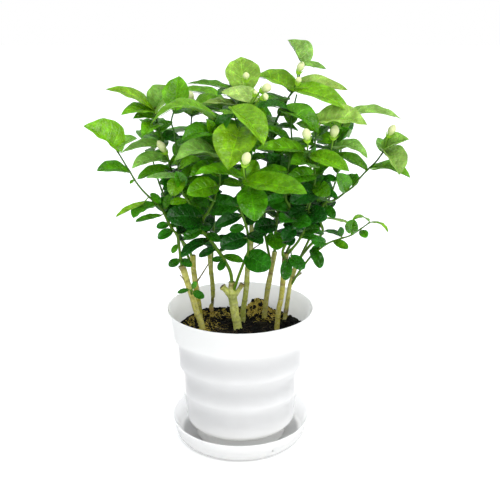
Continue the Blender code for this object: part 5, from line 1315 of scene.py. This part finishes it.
draw = random.Random(5)
for name in SHOOTS:
    for leaf in fill_leaves(name, lines[name], settled, draw):
        leaves_of[name].append(leaf)
        height = (leaf[1].z + leaf[2].z) / 2
        greens_with_light[name].append(next(greens for least, greens in FILL_TONES_AND_SHADE if height > least))


def hides_leaf(foot, tip, width, normal):
    """Whether a leaf would stand before one of the tables' leaves, as seen from the front."""
    along = tip - foot
    side = along.normalized().cross(normal) * (width * HIDING_REACH)
    for part, reach in HIDING_PLACES:
        point = foot + along * part + side * reach
        sight = (point - EYE).normalized()
        if in_front.ray_cast((point + sight) * MM, sight)[0]:
            return True
    return False


def small_leaf(node, stop, lines, settled, draw):
    """A small leaf at this point of a stem and its height, or None where no try has room."""
    share = min(1.0, (stop.z - TUFT_FROM) / TUFT_CLIMB)
    usual = TUFT_LENGTHS[0] + (TUFT_LENGTHS[1] - TUFT_LENGTHS[0]) * share
    length = usual * draw.uniform(*TUFT_CHANCE)
    heading = draw.uniform(0, 2 * math.pi)
    for attempt in range(TUFT_TRIES):
        size = length * TUFT_SIZES[attempt % len(TUFT_SIZES)]
        bearing = heading + attempt * TUFT_TURN
        rise = draw.uniform(*TUFT_RISE)
        along = Vector((math.cos(bearing), math.sin(bearing), rise)).normalized()
        foot = stop + along * PETIOLE
        tip = foot + along * size
        level = along.cross(Vector((0, 0, 1))).normalized()
        facing = (EYE - foot).normalized()
        normal = level.cross(along) + level * draw.uniform(-TUFT_LEAN, TUFT_LEAN)
        normal += facing * draw.uniform(*TUFT_FACING)
        normal = (normal - along * normal.dot(along)).normalized()
        width = size * draw.uniform(*TUFT_WIDTHS)
        if not in_crown(tip) or shuts_window(foot, tip, normal, width):
            continue
        if hides_leaf(foot, tip, width, normal):
            continue
        leaf = try_leaf(node, foot, tip, width, normal, size * TUFT_ARCH, lines, settled)
        if leaf:
            return leaf, (foot.z + tip.z) / 2
    return None


draw = random.Random(41)
for name in SHOOTS:
    for stop in stem_stops(lines[name], 0.0, TUFT_SPACING):
        if stop.z < TUFT_FROM or seen(stop)[1] > TUFT_TO:
            continue
        found = small_leaf(name, stop, lines[name], settled, draw)
        if found:
            leaf, height = found
            leaves_of[name].append(leaf)
            settled.append(Placed(name, "blade", blade(*leaf, BLADE)))
            greens_with_light[name].append(next(greens for least, greens in TUFT_TONES_AND_SHADE if height > least))

# A leaf's rows of points and its columns on each side of the midrib: in the tables, and elsewhere
FINE_MESH = (27, 6)
COARSE_MESH = (18, 4)
LEAF_THICKNESS = 0.42
VEIN_PAIRS = 5.0
VEIN_SWEEP = 0.24  # how far back a side vein starts, as a part of the leaf's length
LOWER_TWIGS = 262.0  # where leaves are round, and how far above it they have a drawn-out tip
TIP_CLIMB = 75.0
TWIST = 10
LOBES = 0.2  # how far the foot's lobes reach back, as a share of the width
WAVE = 0.014
# The midrib below a leaf: its radius at parts of the leaf's length
MIDRIB = ((0.15, 0.62), (0.34, 0.5), (0.52, 0.36), (0.75, 0.2))
FULL_WIDTH = 22  # the width in millimetres from which stalks and midribs have their full size
STEM_GREENS = ("#587C10", "#2C5C04")  # low and high on the plant
# How much red, green and blue vary from leaf to leaf, and how far they travel inside one, in metres
LEAF_TINTS = ((0.96, 1.3), (0.97, 1.14), (0.6, 0.92))
LEAF_LIGHT = {"Subsurface_Radius": (0.4, 1.0, 0.1), "Subsurface_Scale": 0.0012}
# A leaf's usual fold in degrees: low on the plant, how much more it is high up, and how it varies
LOW_FOLD = 8
MORE_FOLD = 16
FOLD_FROM = 205
FOLD_CLIMB = 110
FOLD_VARIES = (-3, 5)
# A stem swells where a leaf joins it: by a share of its radius, over a reach, and never beyond a share
JOINT_SWELL = 0.22
JOINT_REACH = 2.2
JOINT_MOST = 1.35
# How thick a stem is there, as a share of its radius, at heights on the plant
STEM_HEIGHTS = (190, 230, 300)
STEM_SHARES = (1.0, 0.9, 0.74)
CALYX_LOBES = 8


def outline(part, drawn):
    """A leaf's width at this part of its length, from a round leaf (0) to one with a drawn-out tip (1)."""
    near, far = 0.5 + 0.04 * drawn, 0.55 + 0.45 * drawn
    widest = near / (near + far)
    return part ** near * (1 - part) ** far / (widest ** near * (1 - widest) ** far)


def grow_leaf(skin, leaf, fold, tint, draw, mesh):
    """A leaf in its place: folded, quilted between the veins, its margin waved and its tip twisted."""
    count, halves = mesh
    foot, tip, width, normal, arch = leaf[1:]
    along = np.array(tip - foot)
    length = np.linalg.norm(along)
    along /= length
    normal = np.array(normal)
    across = np.cross(along, normal)
    part = 0.5 - 0.5 * np.cos(np.linspace(0.0, math.pi, count))
    column = np.linspace(-1, 1, 2 * halves + 1)
    drawn = min(1.0, max(0.0, (foot.z - LOWER_TWIGS) / TIP_CLIMB)) * draw.uniform(0.85, 1.1)
    half = np.maximum(width / 2 * outline(np.clip(part, 0, 1), drawn), 0.35)[:, None]
    twist = (math.radians(draw.uniform(-TWIST, TWIST)) * part)[:, None]
    curl = draw.uniform(0.02, 0.2)
    away = np.abs(column)[None]
    height = half * (math.sin(fold) * away * 1.1 - curl * away ** 2.4)
    vein = (part[:, None] - VEIN_SWEEP * away ** 1.3 + 0.1) * VEIN_PAIRS
    fade = np.clip(part * 8, 0, 1)[:, None] * np.clip((1 - part) * 5, 0, 1)[:, None]
    quilt = draw.uniform(0.018, 0.034) * (0.3 + 0.7 * drawn)
    height = height + quilt * width * np.abs(np.sin(math.pi * vein)) ** 0.7 * (1 - away ** 5) * fade
    for _ in range(3):
        waves, start = draw.uniform(1.2, 4.2), draw.uniform(0, 6.28)
        side = np.where(column > 0, start, start + draw.uniform(1, 5))[None]
        ripple = np.sin(2 * math.pi * waves * part[:, None] + side)
        height = height + WAVE * width * away ** 2 * ripple * fade
    reach = half * column[None] * math.cos(fold)
    centre = (np.array(foot)[None] + along * (part * length)[:, None]
              + normal * (arch * 4 * part * (1 - part))[:, None])
    slope = (arch * 4 * (1 - 2 * part) / length)[:, None]
    rise = normal - along * slope
    rise /= np.linalg.norm(rise, axis=1, keepdims=True)
    x = reach * np.cos(twist) - height * np.sin(twist)
    z = reach * np.sin(twist) + height * np.cos(twist)
    lobes = LOBES * width * away ** 1.5 * ((1 - part) ** 5)[:, None]
    top = centre[:, None] + across * x[..., None] + rise[:, None] * z[..., None] - along * lobes[..., None]
    thick = LEAF_THICKNESS * (1 - 0.6 * away ** 4) * np.clip(0.35 + 2.5 * (1 - part), 0, 1)[:, None]
    face = np.cross(np.gradient(top, axis=0), np.gradient(top, axis=1))
    face /= np.maximum(np.linalg.norm(face, axis=2, keepdims=True), 1e-9)
    face *= np.sign((face * rise[:, None]).sum(axis=2, keepdims=True))
    below = top - face * thick[..., None]
    rows = np.concatenate([top, below[:, ::-1]], axis=1)
    marks = np.empty((count, 2 * len(column) + 1, 2))
    marks[:, :len(column), 0] = column
    marks[:, len(column):-1, 0] = column[::-1]
    marks[:, -1, 0] = -1
    marks[..., 1] = part[:, None]
    kinds = np.zeros(2 * len(column), int)
    kinds[len(column):-1] = 1
    skin.rings(rows, marks, tint, kinds)
    return centre, rise


def leaf_green_with_light(tone, draw):
    """The green of one leaf, with its painted sheen or shade: the tables' letter, or one of two that a far
    leaf draws, varied a little.
    """
    colour = np.array(linear(GREENS_AND_LIGHT[draw.choice(tone)]))
    colour[:3] *= np.array([draw.uniform(*reach) for reach in LEAF_TINTS])
    return colour


def leaf_top_material():
    """A waxy cuticle: glossy over fine dimples, with the main veins paler, and light coming through.

    The greens change in blotches of 11 mm, and pale specks of about 1 mm are painted glints, where the
    green is made brighter as by glare. The skin puckers every 4 mm between the veins. Its dimples are a
    third of a millimetre on a real leaf, and drawn 1 mm wide.
    """
    material, tree, shader = finish("leaf_upper_side", "#4A9420", 0.34, Subsurface_Weight=0.3,
                                    Specular_IOR_Level=0.45, **LEAF_LIGHT)
    tint = add(tree, "Attribute", attribute_name="tint").outputs["Color"]
    marks = add(tree, "SeparateXYZ", {0: add(tree, "UVMap", uv_map="place").outputs["UV"]})
    away = add(tree, "Math", {0: marks.outputs["X"]}, operation="ABSOLUTE").outputs[0]
    bent = add(tree, "Math", {0: away, 1: 1.3}, operation="POWER").outputs[0]
    back = add(tree, "Math", {0: bent, 1: -VEIN_SWEEP, 2: 0.1}, operation="MULTIPLY_ADD").outputs[0]
    phase = add(tree, "Math", {0: marks.outputs["Y"], 1: back}, operation="ADD").outputs[0]
    turn = add(tree, "Math", {0: phase, 1: VEIN_PAIRS * math.pi}, operation="MULTIPLY").outputs[0]
    wave = add(tree, "Math", {0: turn}, operation="SINE").outputs[0]
    off = add(tree, "Math", {0: wave}, operation="ABSOLUTE").outputs[0]
    lateral = add(tree, "MapRange", {"Value": off, "From Min": 0.05, "From Max": 0.3,
                                     "To Min": 1.0, "To Max": 0.0})
    inner = add(tree, "MapRange", {"Value": away, "From Min": 0.55, "From Max": 0.95,
                                   "To Min": 0.7, "To Max": 0.0})
    lateral = add(tree, "Math", {0: lateral.outputs[0], 1: inner.outputs[0]}, operation="MULTIPLY").outputs[0]
    midrib = add(tree, "MapRange", {"Value": away, "From Min": 0.02, "From Max": 0.07,
                                    "To Min": 1.0, "To Max": 0.0})
    veins = add(tree, "Math", {0: lateral, 1: midrib.outputs[0]}, operation="MAXIMUM").outputs[0]
    place = add(tree, "TexCoord").outputs["Object"]
    blotches = add(tree, "TexNoise", {"Vector": place, "Scale": 90.0, "Detail": 3.0, "Roughness": 0.6})
    shade = add(tree, "MapRange", {"Value": blotches.outputs["Fac"], "From Min": 0.32, "From Max": 0.68,
                                   "To Min": 0.7, "To Max": 1.2})
    body = add(tree, "VectorMath", {0: tint, "Scale": shade.outputs[0]}, operation="SCALE").outputs[0]
    paler = add(tree, "VectorMath", {0: body, "Scale": 1.6}, operation="SCALE").outputs[0]
    share = add(tree, "Math", {0: veins, 1: 0.85}, operation="MULTIPLY").outputs[0]
    lined = add(tree, "Mix", {"Factor": share, "A": body, "B": paler}, data_type="RGBA").outputs["Result"]
    # Painted glints: pale specks of about 1 mm, where the green is made 1.55 times brighter
    specks = add(tree, "TexNoise", {"Vector": place, "Scale": 800.0, "Detail": 3.0, "Roughness": 0.75})
    glint_noise = add(tree, "Math", {0: specks.outputs["Fac"], 1: blotches.outputs["Fac"]}, operation="ADD")
    glint_share = add(tree, "MapRange", {"Value": glint_noise.outputs[0], "From Min": 1.06, "From Max": 1.2,
                                  "To Min": 0.0, "To Max": 0.65}).outputs[0]
    painted_glints = add(tree, "VectorMath", {0: lined, "Scale": 1.55}, operation="SCALE")
    colour = add(tree, "Mix", {"Factor": glint_share, "A": lined, "B": painted_glints.outputs[0]}, data_type="RGBA")
    tree.links.new(colour.outputs["Result"], shader.inputs["Base Color"])
    dimples = add(tree, "TexVoronoi", {"Vector": place, "Scale": 900.0})
    gloss = add(tree, "MapRange", {"Value": blotches.outputs["Fac"], "To Min": 0.18, "To Max": 0.38})
    tree.links.new(gloss.outputs[0], shader.inputs["Roughness"])
    puckers = add(tree, "TexNoise", {"Vector": place, "Scale": 230.0, "Detail": 2.0, "Roughness": 0.55})
    pucker = add(tree, "Bump", {"Height": puckers.outputs["Fac"], "Strength": 0.7, "Distance": 0.002})
    ground = add(tree, "Bump", {"Height": dimples.outputs["Distance"], "Strength": 0.12, "Distance": 0.0002,
                                "Normal": pucker.outputs[0]})
    groove = add(tree, "Bump", {"Height": veins, "Strength": 0.7, "Distance": 0.0005,
                                "Normal": ground.outputs[0]}, invert=True)
    tree.links.new(groove.outputs[0], shader.inputs["Normal"])
    return material


def leaf_under_material():
    """The leaf's under side: paler, greyer and matt, with a net of raised veins.

    The net's meshes are about 1 mm on a real leaf, and drawn 2.4 mm wide.
    """
    material, tree, shader = finish("leaf_under_side", "#7FA860", 0.6, Subsurface_Weight=0.35, **LEAF_LIGHT)
    tint = add(tree, "Attribute", attribute_name="tint").outputs["Color"]
    place = add(tree, "TexCoord").outputs["Object"]
    net = add(tree, "TexVoronoi", {"Vector": place, "Scale": 420.0}, feature="DISTANCE_TO_EDGE")
    line = add(tree, "MapRange", {"Value": net.outputs["Distance"], "From Max": 0.12,
                                  "To Min": 0.62, "To Max": 0.42})
    colour = add(tree, "Mix", {"Factor": line.outputs[0], "A": tint, "B": linear("#94BC70")},
                 data_type="RGBA")
    tree.links.new(colour.outputs["Result"], shader.inputs["Base Color"])
    relief = add(tree, "Bump", {"Height": net.outputs["Distance"], "Strength": 0.3, "Distance": 0.0002},
                 invert=True)
    tree.links.new(relief.outputs[0], shader.inputs["Normal"])
    return material


def stem_material():
    """Young green stem: smooth and satin, with seven faint ribs round it, each some 3 mm long."""
    material, tree, shader = finish("green_stem", "#5E8A2A", 0.45, Specular_IOR_Level=0.3)
    tint = add(tree, "Attribute", attribute_name="tint").outputs["Color"]
    marks = add(tree, "UVMap", uv_map="place").outputs["UV"]
    streaks_place = add(tree, "Mapping", {"Vector": marks, "Scale": (7.0, 0.3, 1.0)}).outputs[0]
    streaks = add(tree, "TexNoise", {"Vector": streaks_place, "Scale": 1.0, "Detail": 2.0})
    shade = add(tree, "MapRange", {"Value": streaks.outputs["Fac"], "From Min": 0.3, "From Max": 0.7,
                                   "To Min": 0.8, "To Max": 1.15})
    colour = add(tree, "VectorMath", {0: tint, "Scale": shade.outputs[0]}, operation="SCALE")
    tree.links.new(colour.outputs[0], shader.inputs["Base Color"])
    return material


leaf_materials = [leaf_top_material(), leaf_under_material()]
green_stem = stem_material()
draw = random.Random(17)
low_green, high_green = (np.array(linear(code)) for code in STEM_GREENS)
pale = np.array(linear("#86A83C"))
for name in SHOOTS:
    blades, wands = Skin(), Skin()
    joints = [np.array(leaf[0]) for leaf in leaves_of[name]]
    for path, radii in lines[name]:
        line = line_through(path, radii, 1.6)
        places = line[0]
        swell = np.ones(len(places))
        for joint in joints:
            gap = np.linalg.norm(places - joint, axis=1)
            swell += JOINT_SWELL * np.exp(-(gap / JOINT_REACH) ** 2)
        swell = np.minimum(swell, JOINT_MOST) * np.interp(places[:, 2], STEM_HEIGHTS, STEM_SHARES)
        share = np.clip((places[:, 2] - 190) / 170, 0, 1)[:, None]
        tint = low_green * (1 - share) + high_green * share
        sweep(wands, line, 10, tint[:, None], swell[:, None])
    for number, (leaf, tone) in enumerate(zip(leaves_of[name], greens_with_light[name])):
        tint = leaf_green_with_light(tone, draw)
        share = min(1, max(0, (leaf[1].z - FOLD_FROM) / FOLD_CLIMB))
        usual = LOW_FOLD + MORE_FOLD * share + draw.uniform(*FOLD_VARIES)
        fold = math.radians(folds.get((name, number), usual))
        mesh = FINE_MESH if len(tone) == 1 else COARSE_MESH  # a leaf of the tables has one letter
        centre, rise = grow_leaf(blades, leaf, fold, tint, draw, mesh)
        reach = min(1.0, leaf[3] / FULL_WIDTH)
        path, radii = [leaf[0], leaf[1]], [0.9 * reach ** 0.3, 0.75 * reach ** 0.3]
        for part, radius in MIDRIB:
            stop = int(part * len(centre))
            radius *= reach ** 0.5
            path.append(Vector(centre[stop] - rise[stop] * (radius + LEAF_THICKNESS * 0.4)))
            radii.append(radius)
        line = line_through(path, radii, 2.4)
        sweep(wands, line, 7, tint * 0.45 + pale * 0.4)
    for number, row in enumerate(BUDS, 1):
        if row[0] != name:
            continue
        foot, seat, lip, tip, along, radius = bud_parts(row)
        start = nearest(foot, lines[name])
        middle = (start + seat) / 2 + Vector((0, -0.6, -0.6))
        line = line_through([start, middle, seat, seat + along * 1.0], [0.85, 0.75, 0.85, 1.1], 1.2)
        sweep(wands, line, 8, np.array(linear("#7DB02E")))
        calyx = np.array(linear("#96CC28"))
        cup = line_through([seat + along * 0.4, seat + along * 1.4, lip + along * 0.8],
                           [1.0, 0.42 * radius + 0.7, 0.5 * radius + 0.75], 0.5)
        sweep(wands, cup, 20, calyx)
        side = along.orthogonal().normalized()
        for lobe in range(CALYX_LOBES):
            out = Matrix.Rotation(lobe * 2 * math.pi / CALYX_LOBES + number, 3, along) @ side
            spread = draw.uniform(0.0, 0.5)
            wide = radius * 0.55 + 0.5
            path = [lip + along * 0.2 + out * (wide - 0.3),
                    lip + along * 1.6 + out * (wide + 0.4 + spread * 0.4),
                    lip + along * (2.8 + draw.uniform(0, 1.2)) + out * (radius * 0.9 + 0.3 + spread)]
            line = line_through(path, [0.5, 0.38, 0.1], 0.8)
            sweep(wands, line, 6, calyx)
    foliage = blades.piece(name + "_leaves", leaf_materials)
    growth = wands.piece(name + "_stems", [green_stem])
    for piece in (foliage, growth):
        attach(piece, "root")
        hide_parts(name)


# The flower buds: cream spindles of furled petals, soft and satin, whose edges wind round them.
BUD_ROWS = 34
BUD_STEPS = 36
# A bud's half width, as a share of its radius, at parts of its length
BUD_PARTS = (0, 0.06, 0.22, 0.42, 0.62, 0.8, 0.92, 0.98, 1)
BUD_WIDTHS = (0.36, 0.5, 0.74, 0.97, 1.0, 0.8, 0.48, 0.2, 0.05)
BUD_SIZE = 0.9
BUD_TWIST = 2.4
PETALS_SEEN = 3


def petal_material():
    """A closed jasmine bud: cream turning green at its foot, waxy, with light soaking in."""
    material, tree, shader = finish("cream_petals", "#F1F3CC", 0.5, Specular_IOR_Level=0.3,
                                    Subsurface_Weight=0.25, Subsurface_Radius=(0.8, 1.0, 0.4),
                                    Subsurface_Scale=0.002)
    tint = add(tree, "Attribute", attribute_name="tint").outputs["Color"]
    tree.links.new(tint, shader.inputs["Base Color"])
    return material


petals = petal_material()
cream, green = np.array(linear("#DCE2AA")), np.array(linear("#A6C848"))
for number, row in enumerate(BUDS, 1):
    lip, tip, along, radius = bud_parts(row)[2:]
    start = lip + along * GAP
    length = (tip - start).length
    part = 0.5 - 0.5 * np.cos(np.linspace(0, math.pi, BUD_ROWS))
    angles = np.arange(BUD_STEPS) * 2 * math.pi / BUD_STEPS
    width = BUD_SIZE * radius * np.interp(part, BUD_PARTS, BUD_WIDTHS)
    wind = angles[None] + BUD_TWIST * part[:, None] + number
    furl = (wind * PETALS_SEEN / (2 * math.pi)) % 1
    swell = 1 + 0.1 * (furl - 0.5) * np.clip(part * 3, 0, 1)[:, None]
    side = np.array(along.orthogonal().normalized())
    up = np.cross(np.array(along), side)
    spots = np.array(start) + np.array(along) * (part * length)[:, None]
    reach = (width[:, None] * swell)[..., None]
    ways = np.cos(angles)[None, :, None] * side + np.sin(angles)[None, :, None] * up
    rows = spots[:, None] + reach * ways
    share = np.clip(1 - part * 1.7, 0, 1)[:, None, None] * 0.85 + 0.25 * (1 - furl[..., None]) ** 6
    tint = cream * (1 - share) + green * share
    skin = Skin()
    skin.rings(rows, np.zeros((BUD_ROWS, BUD_STEPS + 1, 2)), tint)
    bud = skin.piece(f"bud_{number:02d}_petals", [petals])
    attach(bud, "root")
    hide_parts(f"bud_{number:02d}")
